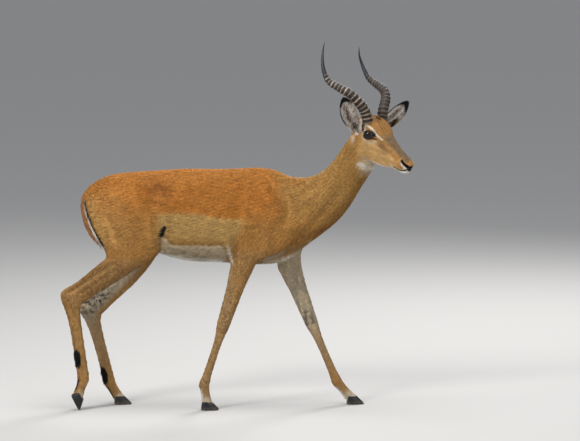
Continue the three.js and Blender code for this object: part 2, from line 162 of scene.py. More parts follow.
LAMPS = [  # name, place, size, watts
    ("sky", (0.0, -0.3, 4.4), 2.4, 120),
    ("key", (-3.0, -3.6, 3.5), 1.4, 200),
    ("side", (4.2, -3.0, 2.2), 2.2, 42),
    ("rim", (1.6, 3.6, 3.2), 1.4, 130),
]
LAMPS_AIM = Vector((0.1, 0, 0.6))  # a little ahead of the animal's middle
for name, place, size, watts in LAMPS:
    lamp = new_object(name, bpy.data.lights.new(name, "AREA"))
    lamp.data.size = size
    lamp.data.energy = watts
    lamp.location = place
    lamp.rotation_euler = (LAMPS_AIM - Vector(place)).to_track_quat("-Z", "Y").to_euler()
world = bpy.data.worlds.new("studio")
world.use_nodes = True
background = world.node_tree.nodes["Background"]
background.inputs["Color"].default_value = (0.9, 0.93, 1.0, 1)
background.inputs["Strength"].default_value = 0.5
bpy.context.scene.world = world
bpy.context.scene.view_settings.view_transform = "Standard"
print(len(LAMPS), "lamps")

# %% [markdown]
# ## Small helpers
# Every piece below is a mesh whose points are read and written as one array. A piece is always
# made alone, with nothing else selected.

# %% Helpers for meshes
MERGE = 0.00002  # points nearer to each other than this become one, m


def alone(piece):
    """Makes this object the only selected one."""
    bpy.ops.object.select_all(action="DESELECT")
    piece.select_set(True)
    bpy.context.view_layer.objects.active = piece


@contextmanager
def editing(piece, selected="SELECT"):
    """Edit mode on this piece alone, with all of it selected, or none of it."""
    alone(piece)
    bpy.ops.object.mode_set(mode="EDIT")
    bpy.ops.mesh.select_mode(type="VERT")
    bpy.ops.mesh.select_all(action=selected)
    yield
    bpy.ops.object.mode_set(mode="OBJECT")


def select_points(piece, wanted):
    """Leaves just these points selected when edit mode opens next."""
    with editing(piece, "DESELECT"):
        pass
    piece.data.vertices.foreach_set("select", np.ascontiguousarray(wanted, dtype=bool))
    bpy.ops.object.mode_set(mode="EDIT")


def face_outwards(piece):
    """Turns all the piece's faces outwards."""
    with editing(piece):
        bpy.ops.mesh.normals_make_consistent(inside=False)


def points_of(piece):
    """The piece's points as rows, in metres."""
    points = np.empty(len(piece.data.vertices) * 3)
    piece.data.vertices.foreach_get("co", points)
    return points.reshape(-1, 3)


def set_points(piece, points):
    piece.data.vertices.foreach_set("co", np.ascontiguousarray(points, dtype=float).ravel())
    piece.data.update()


def normals_of(piece):
    normals = np.empty(len(piece.data.vertices) * 3, dtype=np.float32)
    piece.data.vertex_normals.foreach_get("vector", normals)
    return normals.reshape(-1, 3).astype(float)


def apply(piece, kind, **settings):
    """Adds one modifier with these settings and applies it."""
    alone(piece)
    modifier = piece.modifiers.new(kind.lower(), kind)
    for name, value in settings.items():
        setattr(modifier, name, value)
    bpy.ops.object.modifier_apply(modifier=modifier.name)


def weigh(piece, name, weights):
    """Stores a weight for each point, in eighths, in a vertex group."""
    group = piece.vertex_groups.new(name=name)
    eighths = np.round(np.clip(weights, 0, 1) * 8).astype(int)
    for level in range(1, 9):
        group.add(np.flatnonzero(eighths == level).tolist(), level / 8, "REPLACE")


def smooth(piece, name, weights, times):
    """Relaxes a piece's points where the weights say, as often as given."""
    weigh(piece, name, weights)
    apply(piece, "SMOOTH", factor=0.5, iterations=times, vertex_group=name)


def copy_node(node, name):
    """A merged copy of a frame node, free to be changed."""
    piece = new_object(name, frame["nodes"][node].data.copy())
    with editing(piece):
        bpy.ops.mesh.remove_doubles(threshold=MERGE)
    piece.data.materials.clear()
    return piece


# %% [markdown]
# ## The skin
# The flesh is one body that was only parted by thin gaps, so copies of its nodes are swelled by a
# hair's width until the gaps close, joined, and remeshed into one closed surface. The seats of the
# ears, horns, eyes and hooves are plugged in the same go: each gets a stub or a slightly smaller
# copy of what sits in it, so that the skin runs on underneath.

# %% Copies of the flesh and the plugs
VOXEL = 0.0056  # size of the skin's first quads, m
PLUG_SIZE = 0.86  # a plug's size as a share of the claw's
SIDES = {"left": 1, "right": -1}
HORN_ROOT = {side: from_level((-16, 37 * sign, 40)) for side, sign in SIDES.items()}
EAR_ROOT = {"left": from_level((-60, 40, 6)), "right": from_level((-60, -40, 10))}
EAR_BEND = {"left": from_level((-30, 104, 28)), "right": from_level((-46, -100, 54))}
EAR_TIP = {"left": from_level((0, 158, 104)), "right": from_level((-33, -148, 133))}


def cut_off(piece, place_mm, direction):
    """Cuts away what lies beyond a plane and closes the cut."""
    with editing(piece):
        bpy.ops.mesh.bisect(plane_co=to_m(place_mm), plane_no=direction, use_fill=True, clear_outer=True)


flesh = ["trunk", "neck", "head", "tail"]
flesh += [node for node in sorted(frame["nodes"]) if node.startswith(("foreleg", "hindleg"))]
copies = [copy_node(node, "part_" + node) for node in flesh + ["eye_left", "eye_right"]]
for side in SIDES:
    stub = copy_node("horn_" + side, "stub_horn_" + side)
    cut_off(stub, HORN_ROOT[side] + (0, 0, 6), (0, 0, 1))
    copies.append(stub)
    stub = copy_node("ear_" + side, "stub_ear_" + side)
    along = EAR_BEND[side] - EAR_ROOT[side]
    along /= np.linalg.norm(along)
    cut_off(stub, EAR_ROOT[side] + 14 * along, along)
    copies.append(stub)
for node in sorted(frame["nodes"]):
    if node.startswith("hoof"):
        claw = copy_node(node, "stub_" + node)
        low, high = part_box(node)
        middle = np.array((low + high) / 2)
        set_points(claw, middle + PLUG_SIZE * (points_of(claw) - middle))
        copies.append(claw)
print(len(copies), "bodies to join")

# %% Join and remesh them
bpy.ops.object.select_all(action="DESELECT")
for piece in copies:
    piece.select_set(True)
skin = copies[0]
bpy.context.view_layer.objects.active = skin
bpy.ops.object.join()
skin.name = skin.data.name = "skin"
apply(skin, "DISPLACE", strength=0.0005, mid_level=0)
apply(skin, "REMESH", mode="VOXEL", voxel_size=VOXEL)


def keep_shell_of(piece, point):
    """Deletes every loose shell but the one that this point belongs to."""
    select_points(piece, np.arange(len(piece.data.vertices)) == point)
    bpy.ops.mesh.select_linked()
    bpy.ops.mesh.select_all(action="INVERT")
    bpy.ops.mesh.delete(type="VERT")
    bpy.ops.object.mode_set(mode="OBJECT")


keep_shell_of(skin, int(np.argmax(points_of(skin)[:, 2])))
print("skin:", len(skin.data.vertices), "points")

# %% [markdown]
# The facets of the solids still show on the broad parts. Smoothing takes them away: it works long
# on the trunk and neck, and hardly at all on the legs and the face, which would shrink.

# %% Smooth away the facets
BETWEEN_LEGS = -60  # x between the fore and the hind legs, mm
LEG_LOSS = 0.0009  # what the smoothing takes off the lower legs, m


def head_share(points_mm):
    """1 on the head, 0 behind the jaw and the ears."""
    ahead = in_level(points_mm)[:, 0]
    return step(-72, -38, ahead) * step(800, 830, points_mm[:, 2])


def leg_share(points_mm):
    """1 on the legs below the body, 0 on the trunk."""
    x, y, z = points_mm.T
    line = np.where(x > BETWEEN_LEGS, 545, 565)
    return step(0, 70, line - z) * step(35, 50, np.abs(y))


skin_mm = to_mm(points_of(skin))
broad = 1 - 0.75 * head_share(skin_mm)
broad *= 1 - 0.75 * leg_share(skin_mm) - 0.09 * step(480, 330, skin_mm[:, 2])
tail_near = step(-362, -386, skin_mm[:, 0]) * step(60, 30, np.abs(skin_mm[:, 1]))
broad *= 1 - 0.6 * tail_near
smooth(skin, "broad", broad, 70)
skin_mm = to_mm(points_of(skin))
thin = leg_share(skin_mm) * step(500, 330, skin_mm[:, 2])
set_points(skin, points_of(skin) + normals_of(skin) * (LEG_LOSS * thin)[:, None])
print("smoothed, highest point now", round(points_of(skin)[:, 2].max(), 3))

# %% [markdown]
# ## The ears
# An ear is a leaf curled into a cup. A flat grid is bent along the ear's line, its width follows
# the leaf, and Solidify and Subdivision Surface give it a soft wall. It is then joined into the
# skin with a Boolean, and the crease where it grows out of the head is smoothed.

# %% Leaf of one ear
EAR_WIDTH, EAR_WALL = 63.0, 3.0
WRAP_ROOT, WRAP_OPEN = 105, 40  # half the angle that the leaf wraps round, degrees
EAR_FACING = {"left": (0.72, -0.45, -0.35), "right": (0.86, -0.3, -0.42)}


def unit(vectors):
    """The vectors at length 1."""
    vectors = np.asarray(vectors, float)
    return vectors / np.maximum(np.linalg.norm(vectors, axis=-1, keepdims=True), 1e-9)


def ear_line(side, t):
    """Place and direction on the ear's middle line."""
    root, bend, tip = EAR_ROOT[side], EAR_BEND[side], EAR_TIP[side]
    t = np.asarray(t)[:, None]
    place = (1 - t) ** 2 * root + 2 * t * (1 - t) * bend + t**2 * tip
    return place, unit(2 * (1 - t) * (bend - root) + 2 * t * (tip - bend))


def ear_frame(side, t):
    """Place, direction, opening side and sideways direction at shares t of an ear's length."""
    place, along = ear_line(side, t)
    facing = np.array(EAR_FACING[side]) @ level_axes.T
    facing = unit(facing - along * (along @ facing)[:, None])
    return place, along, facing, np.cross(along, facing)


def ear_leaf(t):
    """The leaf's breadth at shares t of its length, as a share of its full width."""
    return np.sin(np.pi * np.clip(0.14 + 0.86 * t**1.55, 0, 1)) ** 0.6


def ear_surface(side, t, s):
    """t runs from root to tip, s from edge to edge (-1 to 1). In millimetres."""
    place, _, facing, across = ear_frame(side, t)
    leaf = ear_leaf(t)
    wrap = np.radians(WRAP_ROOT + (WRAP_OPEN - WRAP_ROOT) * np.minimum(1, t * 2.4))
    curl = (EAR_WIDTH / 2) * leaf / np.sin(np.minimum(wrap, np.pi / 2))
    ridges = 0.9 * np.cos(s * 9) * step(0.15, 0.4, t) * step(1.0, 0.75, t) * step(1.0, 0.7, np.abs(s))
    radius = curl - EAR_WALL / 2 - ridges
    turn = wrap * s
    centre = place + facing * (curl * np.cos(wrap) + EAR_WALL / 2)[:, None]
    return centre + across * (radius * np.sin(turn))[:, None] - facing * (radius * np.cos(turn))[:, None]


ears = []
for side in SIDES:
    bpy.ops.object.select_all(action="DESELECT")
    bpy.ops.mesh.primitive_grid_add(x_subdivisions=22, y_subdivisions=14, size=2)
    ear = bpy.context.object
    ear.name = "leaf_" + side
    grid = points_of(ear)
    t = (grid[:, 0] + 1) / 2 * 0.995
    set_points(ear, to_m(ear_surface(side, t, grid[:, 1])))
    apply(ear, "SOLIDIFY", thickness=EAR_WALL / 1000, offset=0)
    apply(ear, "SUBSURF", levels=1, render_levels=1)
    face_outwards(ear)
    ears.append(ear)
print("ears:", [len(ear.data.vertices) for ear in ears])

# %% Finer quads on the head, finest round the eyes, nose and mouth


def refine(piece, wanted):
    """Subdivides the faces whose points are all wanted."""
    select_points(piece, wanted)
    bpy.ops.mesh.subdivide(number_cuts=1, smoothness=0)
    bpy.ops.object.mode_set(mode="OBJECT")


EYE_AT = {side: np.array([-1.0, 45.5 * sign, -2.5]) for side, sign in SIDES.items()}  # head axes


def near_eye(points, radius):
    """1 at an eye, 0 beyond the radius, for points in head axes."""
    away = np.minimum(*[np.linalg.norm(points - middle, axis=1) for middle in EYE_AT.values()])
    return step(radius, radius * 0.6, away)


def needs_detail(points):
    """True round the eyes and on the muzzle, for points in head axes."""
    return (near_eye(points, 60) > 0.1) | (points[:, 0] > 126)


skin_mm = to_mm(points_of(skin))
refine(skin, (in_level(skin_mm)[:, 0] + 0.3 * (skin_mm[:, 2] - 971) > -62) & (skin_mm[:, 2] > 830))
skin_mm = to_mm(points_of(skin))
local = in_head(skin_mm)
smooth(skin, "head", head_share(skin_mm) * (1 - 0.5 * step(150, 170, local[:, 0])), 9)
local = in_head(to_mm(points_of(skin)))
on_face = (np.linalg.norm(local - (5, 0, 0), axis=1) < 400) & (local[:, 2] > -160)
refine(skin, on_face & needs_detail(local))
skin_mm = to_mm(points_of(skin))
smooth(skin, "fine", needs_detail(in_head(skin_mm)) * 0.6 * head_share(skin_mm), 4)
print("skin:", len(skin.data.vertices), "points,", len(skin.data.polygons), "faces")

# %% Join the ears into the skin
for ear in ears:
    apply(skin, "BOOLEAN", object=ear, operation="UNION", solver="EXACT")
    bpy.data.objects.remove(ear, do_unlink=True)
skin_mm = to_mm(points_of(skin))
collars = [EAR_ROOT[side] + 0.22 * (EAR_BEND[side] - EAR_ROOT[side]) for side in SIDES]
root_away = np.minimum(*[np.linalg.norm(skin_mm - collar, axis=1) for collar in collars])
smooth(skin, "ear_roots", step(40, 18, root_away) * 0.8, 14)
print("with ears:", len(skin.data.vertices), "points")

# %% [markdown]
# ## Modelling the skin
# Muscles, bones and folds are pushed up or pressed in by strokes. A stroke is a short path with a
# radius and a height: points near the path move along their own normals. Body strokes are drawn in
# the side view, leg strokes along the bones, and face strokes in the head's own side view.

# %% Strokes
LEG_JOINTS = {  # x, distance from the middle plane, z of the bones' joints, in mm
    "foreleg_right": [(178, 79, 610), (156, 81, 536), (80, 77, 291), (15, 74, 89), (27, 73, 14)],
    "foreleg_left": [(322, 79, 590), (303, 79, 512), (395, 76, 279), (481, 73, 80), (536, 72, 16)],
    "hindleg_right": [(-196, 74, 566), (-306, 72, 494), (-448, 66, 390), (-406, 69, 108), (-426, 69, 50)],
    "hindleg_left": [(-190, 74, 540), (-270, 72, 455), (-386, 66, 332), (-320, 69, 76), (-284, 69, 16)],
}


def path_away(flat, path):
    """Distance of flat points from a path, and how far along the path the nearest place is (0 to 1)."""
    path = np.asarray(path, float)
    if len(path) == 1:
        return np.linalg.norm(flat - path[0], axis=1), np.zeros(len(flat))
    best = np.full(len(flat), np.inf)
    along = np.zeros(len(flat))
    for k in range(len(path) - 1):
        run = path[k + 1] - path[k]
        share = np.clip((flat - path[k]) @ run / (run @ run), 0, 1)
        away = np.linalg.norm(flat - path[k] - share[:, None] * run, axis=1)
        closer = away < best
        best = np.where(closer, away, best)
        along = np.where(closer, (k + share) / (len(path) - 1), along)
    return best, along


def leg_place(points_mm, leg):
    """Where points lie on a leg: joints passed, mm ahead of the bones, and if they are near."""
    joints = np.array(LEG_JOINTS[leg], float)
    side = SIDES[leg.split("_")[1]]
    flat = points_mm[:, [0, 2]]
    best = np.full(len(flat), np.inf)
    at, ahead = np.zeros((2, len(flat)))
    for k in range(4):
        start, end = joints[k, [0, 2]], joints[k + 1, [0, 2]]
        run = end - start
        share = (flat - start) @ run / (run @ run)
        held = np.clip(share, 0 if k else -1, 1 if k < 3 else 2)
        offset = flat - start - held[:, None] * run
        away = np.linalg.norm(offset, axis=1)
        closer = away < best
        best = np.where(closer, away, best)
        forward = np.array([-run[1], run[0]]) / np.linalg.norm(run)
        at = np.where(closer, k + held, at)
        ahead = np.where(closer, offset @ forward, ahead)
    fore = points_mm[:, 0] > BETWEEN_LEGS
    near = (best < 70) & (side * points_mm[:, 1] > 20) & (fore == leg.startswith("fore"))
    return at, ahead, near


BODY_RELIEF = 1.7  # how much deeper the body strokes are than their own heights say
BODY_STROKES = [  # side (0 both, 1 left, -1 right), path of x and z, radius, height
    (0, [(-134, 794), (-146, 738)], 30, -9.0),  # hollow of the flank
    (0, [(-10, 806), (-48, 762), (-84, 716)], 20, 4.5),  # last rib
    (0, [(-206, 816), (-192, 770), (-182, 720)], 24, 5.5),  # hip and the front of the thigh
    (0, [(-300, 770), (-345, 735)], 30, 2.5),
    (0, [(-340, 700), (-300, 630), (-286, 566)], 17, -3.6),  # between the two muscles of the thigh
    (0, [(-246, 745), (-215, 650)], 34, 2.5),
    (0, [(-184, 582)], 32, 4.0),  # knee
    (0, [(-119, 690), (-116, 620), (-122, 545)], 14, -5.0),  # the flank's fold: its hollow
    (0, [(-150, 712), (-150, 620), (-158, 548)], 19, 4.5),  # and its edge
    (-1, [(217, 826), (262, 752), (296, 690)], 15, 3.4),  # ridge of the shoulder blade
    (-1, [(170, 818), (158, 720), (146, 640)], 20, -4.0),  # behind the shoulder
    (-1, [(312, 764), (318, 700), (296, 640)], 16, -4.5),  # in front of it
    (-1, [(342, 652)], 30, 4.5),  # point of the shoulder
    (-1, [(196, 720), (150, 636)], 26, 3.5),  # upper arm
    (-1, [(106, 622), (108, 570), (114, 505)], 13, -4.0),  # fold behind the elbow
    (-1, [(240, 640), (215, 565)], 15, -3.0),
    (1, [(230, 826), (300, 752), (356, 690)], 15, 3.4),
    (1, [(190, 818), (196, 720), (214, 640)], 20, -4.0),
    (1, [(398, 652)], 30, 4.0),
    (1, [(250, 720), (236, 636)], 26, 3.5),
    (0, [(533, 826), (446, 706), (356, 610)], 14, -2.8),  # groove of the windpipe
    (0, [(505, 888), (420, 786), (318, 742)], 15, -2.2),
    (0, [(470, 880), (380, 768)], 16, 1.8),
]
for rib in range(8):
    top = 132 - 27 * rib
    BODY_STROKES.append((0, [(top, 780), (top - 26, 690), (top - 64, 610)], 9, 0.55))

LEG_STROKES = [  # legs, joints passed and mm ahead of the bones at both ends, width, height
    ("fore", 0.95, 10, 1.75, -4, 8, -2.2),  # between the muscles of the forearm
    ("fore", 1.86, 8, 2.06, 8, 11, 2.0),  # front of the knee
    ("fore", 1.9, -17, 2.02, -15, 7, 2.0),  # bone behind the knee
    ("fore", 2.12, -5, 2.88, -6, 3.6, -1.8),  # sinew behind the cannon
    ("fore", 2.94, -14, 3.08, -14, 7, 1.8),  # back of the fetlock
    ("hind", 0.85, -14, 1.9, -22, 9, -5.5),  # hollow in front of the heel's sinew
    ("hind", 0.9, 6, 1.75, 2, 7, -2.4),
    ("hind", 1.0, -36, 1.92, -35, 6, 2.2),  # the sinew
    ("hind", 1.92, 12, 2.1, 8, 12, 2.2),  # front of the hock
    ("hind", 2.12, -6, 2.88, -6, 4.2, -2.0),
    ("hind", 2.94, -15, 3.08, -15, 7, 1.6),
]
FACE_STROKES = [  # path of forward and up in head axes, radius, height
    ([(-22, 21), (-3, 25), (16, 22), (31, 12)], 6.5, 3.4),  # brow
    ([(41, -4)], 13, -3.6),  # in front of the eye
    ([(-44, -20), (-10, -28), (26, -26), (64, -22)], 7, 2.0),  # cheek bone
    ([(6, -66), (-8, -78)], 26, 3.0),  # chewing muscle
    ([(56, -44), (50, -82)], 12, -2.6),
    ([(60, -2), (98, -9), (134, -14)], 11, -2.4),
    ([(52, 19), (92, 12), (134, 6)], 6, 1.4),  # edge of the nose bone
    ([(148, 2), (160, -1), (171, -3), (181, -7)], 4.5, 2.4),  # wing of the nostril
    ([(156, -18), (168, -20), (178, -21)], 4, 1.8),
    ([(140, -28), (158, -25)], 9, 1.6),  # pad of the whiskers
    ([(136, -39), (152, -37), (166, -33), (178, -26)], 4, 1.6),  # upper lip
    ([(148, -50), (164, -47), (176, -39)], 4, 1.2),  # lower lip
    ([(-40, 8), (-46, -12)], 13, -2.6),  # temple
    ([(36, -106), (-14, -104), (-52, -74), (-70, -34)], 10, -3.2),  # behind the jaw
]
NOSTRIL = [(153, -6), (160, -9.5), (169, -11), (178, -12), (185, -15)]
MOUTH = [(132, -46), (148, -44.5), (163, -40.5), (175, -33), (184, -22), (187, -18)]
FACE_STROKES.append((NOSTRIL[:3], 3.2, -3.0))
FACE_STROKES.append((NOSTRIL, 3.0, -5.5))
FACE_STROKES.append((MOUTH, 1.9, -3.6))

skin_mm = to_mm(points_of(skin))
flank_away, _ = path_away(skin_mm[:, [0, 2]], [(-166, 790), (-160, 730)])
smooth(skin, "flank", step(110, 60, flank_away) * 0.8, 30)
skin_mm = to_mm(points_of(skin))
normals = normals_of(skin)
push = np.zeros(len(skin_mm))
sideways = np.abs(normals[:, 1])
for side, path, radius, height in BODY_STROKES:
    away, along = path_away(skin_mm[:, [0, 2]], path)
    here = (side == 0) | (np.sign(skin_mm[:, 1]) == side)
    ends = 1 if len(path) == 1 else step(-0.1, 0.35, along) * step(1.1, 0.65, along)
    push += BODY_RELIEF * height * np.exp(-((away / radius) ** 2)) * step(0.25, 0.6, sideways) * here * ends
push *= 1 - head_share(skin_mm)
for leg in LEG_JOINTS:
    at, ahead, near = leg_place(skin_mm, leg)
    for kind, at_1, ahead_1, at_2, ahead_2, width, height in LEG_STROKES:
        share = (at - at_1) / (at_2 - at_1)
        line = ahead_1 + np.clip(share, 0, 1) * (ahead_2 - ahead_1)
        window = step(-0.12, 0.06, share) * step(1.12, 0.94, share) * near * leg.startswith(kind)
        push += height * np.exp(-(((ahead - line) / width) ** 2)) * window * step(0.1, 0.4, sideways)
local = in_head(skin_mm)
face = head_share(skin_mm) * step(0.12, 0.4, np.abs(normals @ head_axes[:, 1]))
for path, radius, height in FACE_STROKES:
    away, _ = path_away(local[:, [0, 2]], path)
    push += height * np.exp(-((away / radius) ** 2)) * face
for side in HORN_ROOT:  # the skin stands up a little round each horn
    away = np.linalg.norm(skin_mm - HORN_ROOT[side], axis=1)
    push += 2.2 * step(34, 22, away)
set_points(skin, to_m(skin_mm + normals * push[:, None]))
smooth(skin, "settle", 0.75 - 0.75 * step(-20, 20, local[:, 0]) * head_share(skin_mm), 5)
print("strokes move the skin by", round(push.min(), 1), "to", round(push.max(), 1), "mm")

# %% [markdown]
# ## Eyelids
# The skin near an eye is wrapped on a sphere a little larger than the eyeball. Inside the almond of
# the lids it drops behind the ball. Outside, it runs smoothly into the brow and cheek.

# %% Almond of the lids
BALL = 18.0  # radius of the eyeball
LID = 2.3  # thickness of the lids over the ball
CORNER_BACK, CORNER_FRONT = -21.0, 22.5  # corners of the opening, along the ball
CORNER_MIDDLE, HALF_OPENING = (CORNER_BACK + CORNER_FRONT) / 2, (CORNER_FRONT - CORNER_BACK) / 2
LID_HIGH, LID_LOW = 11.5, -9.5
EYE_REACH = 46  # how far from the ball's centre the skin follows it
LIDS_REACH = 40  # and how far its bare rim is looked for
EDGE_POINTS, RIM_POINTS = 72, 56


def eye_axes(side):
    """Columns: outward gaze, towards the front corner, up. In the skin's own axes."""
    gaze = unit([0.16, SIDES[side], 0.08])
    front = np.array([0.88, 0, 0.475])
    front = unit(front - gaze * (front @ gaze))
    up = np.cross(gaze, front)
    up = up * np.sign(up[2])
    return head_axes @ np.stack([gaze, front, up], axis=1)


def lid_edge(q):
    """Upper and lower edge of the opening at q, from -1 at the back corner to 1 at the front."""
    round_part = np.clip(1 - q**2, 0, 1)
    return LID_HIGH * round_part**0.62, LID_LOW * round_part**0.8


def lid_loop(count):
    """The opening's outline on the ball, in mm of arc, starting at the front corner."""
    turn = np.linspace(0, 2 * np.pi, count, endpoint=False)
    q = np.cos(turn)
    high, low = lid_edge(q)
    along = CORNER_MIDDLE + q * HALF_OPENING
    return along, np.where(turn <= np.pi, high, low)


def on_ball(side, along, rise, radius):
    """Points on a sphere round the eyeball, in the skin's mm."""
    axes = eye_axes(side)
    a, b = along / BALL, rise / BALL
    directions = np.stack([np.cos(b) * np.cos(a), np.cos(b) * np.sin(a), np.sin(b)], axis=1)
    return from_head(EYE_AT[side]) + (directions * np.asarray(radius).reshape(-1, 1)) @ axes.T


def eye_place(points_mm, side):
    """Height on the ball in mm of arc, distance from its centre, signed distance from the lids'
    edge (negative in the opening), and how far outward the point lies."""
    offset = (points_mm - from_head(EYE_AT[side])) @ eye_axes(side)
    away = np.linalg.norm(offset, axis=1)
    a = np.arctan2(offset[:, 1], offset[:, 0]) * BALL
    b = np.arcsin(np.clip(offset[:, 2] / np.maximum(away, 1e-6), -1, 1)) * BALL
    loop = np.stack(lid_loop(EDGE_POINTS), axis=1)
    edge, _ = path_away(np.stack([a, b], axis=1), np.vstack([loop, loop[:1]]))
    q = (a - CORNER_MIDDLE) / HALF_OPENING
    high, low = lid_edge(np.clip(q, -1, 1))
    inside = (np.abs(q) < 1) & (b < high) & (b > low)
    return b, away, np.where(inside, -edge, edge), offset[:, 0]


skin_mm = to_mm(points_of(skin))
for side in SIDES:
    b, away, edge, outward = eye_place(skin_mm, side)
    near = (away < EYE_REACH) & (outward > -1)
    swell = 0.9 * np.exp(-(((edge - 5.0) / 2.0) ** 2))  # the lids' fat edge
    crease = 0.7 * np.exp(-(((edge - 8.6) / 1.6) ** 2)) * (b > 0)  # the fold above it
    over = BALL + LID + swell - crease
    blend = step(14, 3.5, edge) * step(-1, 8, outward)
    wanted = np.where(edge < 0.6, BALL - 3.2, away + (over - away) * blend)
    centre = from_head(EYE_AT[side])
    moved = centre + (skin_mm - centre) * (wanted / np.maximum(away, 1e-6))[:, None]
    skin_mm = np.where((near & (edge < 14))[:, None], moved, skin_mm)
set_points(skin, to_m(skin_mm))
lids = np.zeros(len(skin_mm))
for side in SIDES:
    _, away, edge, outward = eye_place(skin_mm, side)
    lids += step(15, 9, edge) * step(1.8, 4.5, edge) * (away < EYE_REACH) * (outward > -1)
smooth(skin, "lids", lids, 4)
print("lids wrapped round both eyes")

# %% [markdown]
# ## Lid rims and eyes
# The lids end in bare black rims, wet where they touch the ball. Each rim is a thin ring that
# follows the almond, so it also gives the opening a clean edge. The eyeball has the bulge of the
# cornea and is darkened by its colours alone.

# %% Rims of the lids
pieces = {}
RIM_WIDE, RIM_TALL = 1.7, 1.2  # half the rim's width and height


def tube(name, rings, ends_meet):
    """A closed mesh from rings of points: a ring of its own where the ends meet, else capped."""
    rings = np.asarray(rings)
    count, sides = rings.shape[:2]
    faces = [(r * sides + k, r * sides + (k + 1) % sides,
              (r + 1) % count * sides + (k + 1) % sides, (r + 1) % count * sides + k)
             for r in range(count if ends_meet else count - 1) for k in range(sides)]
    if not ends_meet:
        faces += [tuple(range(sides)), tuple(range((count - 1) * sides, count * sides))]
    mesh = bpy.data.meshes.new(name)
    mesh.from_pydata(to_m(rings.reshape(-1, 3)).tolist(), [], faces)
    piece = new_object(name, mesh)
    face_outwards(piece)
    return piece


for side in SIDES:
    along, rise = lid_loop(RIM_POINTS)
    duct = np.exp(-(((along - CORNER_FRONT) / 3.0) ** 2))  # the front corner runs out into a point
    middle = on_ball(side, along + 3.5 * duct, rise - 0.8 * duct, BALL + 1.2 + 2.2 * duct)
    run = unit(np.roll(middle, -1, axis=0) - np.roll(middle, 1, axis=0))
    out = unit(middle - from_head(EYE_AT[side]))
    across = unit(np.cross(run, out))
    across *= np.sign(across[0] @ eye_axes(side)[:, 1])
    turn = np.linspace(0, 2 * np.pi, 10, endpoint=False)
    rings = [middle[k] + across[k] + np.outer(np.cos(turn), across[k]) * RIM_WIDE
             + np.outer(np.sin(turn), out[k]) * RIM_TALL for k in range(len(middle))]
    pieces["lid_rim_" + side] = tube("lid_rim_" + side, rings, ends_meet=True)
print("lid rims made")

# %% Eyeballs
for side in SIDES:
    bpy.ops.object.select_all(action="DESELECT")
    bpy.ops.mesh.primitive_uv_sphere_add(segments=64, ring_count=40, radius=1)
    ball = bpy.context.object
    ball.name = "eyeball_" + side
    unit_points = points_of(ball)  # the pole is turned to the gaze
    off_axis = np.arccos(np.clip(unit_points[:, 2], -1, 1)) * BALL
    radius = BALL - 0.1 + 1.0 * step(13.5, 8.0, off_axis)
    axes = eye_axes(side)[:, [1, 2, 0]]
    set_points(ball, to_m(from_head(EYE_AT[side]) + (unit_points * radius[:, None]) @ axes.T))
    face_outwards(ball)
    bpy.ops.object.shade_smooth()
    # The iris is drawn from this attribute: mm along the lids, mm up, and mm off the gaze.
    place = ball.data.attributes.new("eye_place", "FLOAT_VECTOR", "POINT")
    flat = unit_points * off_axis[:, None] / np.maximum(np.hypot(*unit_points[:, :2].T), 1e-6)[:, None]
    place.data.foreach_set("vector", np.stack([flat[:, 0], flat[:, 1], off_axis], axis=1).ravel())
    pieces["eyeball_" + side] = ball
print("eyeballs made")

# %% [markdown]
# ## Horns and hooves
# A horn is a tube round a smooth curve. Its radius tapers to the tip, and every ring raises it to a
# crest that is steep towards the tip and highest in front. Two attributes, the share of the length
# and the crest, guide its colours later. Hooves are the solids' own claws with a bevel and a
# little subdivision, so that the edge of the sole stays crisp.

# %% Horns
HORN_PATH = [  # forward, outward and up from between the eyes, in level head axes
    (-16, 37, 40), (-20, 50, 82), (-31, 74, 114), (-52, 91, 140), (-95, 100, 160),
    (-137, 106, 180), (-158, 105, 210), (-169, 102, 250), (-172, 96, 286), (-169, 91, 318),
]
SPAN_POINTS = 40  # points on the curve between two places of the path


def smooth_path(points, count):
    """A curve through all the points, as evenly spaced points of its own."""
    points = np.vstack([2 * points[0] - points[1], points, 2 * points[-1] - points[-2]])
    spans = []
    for p0, p1, p2, p3 in zip(points, points[1:], points[2:], points[3:]):
        gaps = [np.linalg.norm(b - a) ** 0.5 for a, b in ((p0, p1), (p1, p2), (p2, p3))]
        k0, k1, k2, k3 = np.concatenate([[0], np.cumsum(gaps)])
        at = np.linspace(k1, k2, SPAN_POINTS, endpoint=False)[:, None]

        def blend(a, b, low, high):
            return ((high - at) * a + (at - low) * b) / (high - low)

        a1, a2, a3 = blend(p0, p1, k0, k1), blend(p1, p2, k1, k2), blend(p2, p3, k2, k3)
        spans.append(blend(blend(a1, a2, k0, k2), blend(a2, a3, k1, k3), k1, k2))
    curve = np.vstack([*spans, points[-2]])
    lengths = np.concatenate([[0], np.cumsum(np.linalg.norm(np.diff(curve, axis=0), axis=1))])
    even = np.linspace(0, lengths[-1], count)
    return np.column_stack([np.interp(even, lengths, curve[:, k]) for k in range(3)])


HORN_RADIUS = 18.5
HORN_RINGS, RINGED_SHARE = 17, 0.7
RING_RELIEF = 3.6  # from groove to crest
RING_STEPS, HORN_SIDES = 14, 36
RING_DRAWS = 40  # more than there are rings
ROOT_DEPTH = 9  # how far the horn goes down into the skin
WORN_TIP = (-13.5, -27, -27)  # the left horn's tip ends lower
print("rings on each horn:", HORN_RINGS)

# %% Horn surfaces


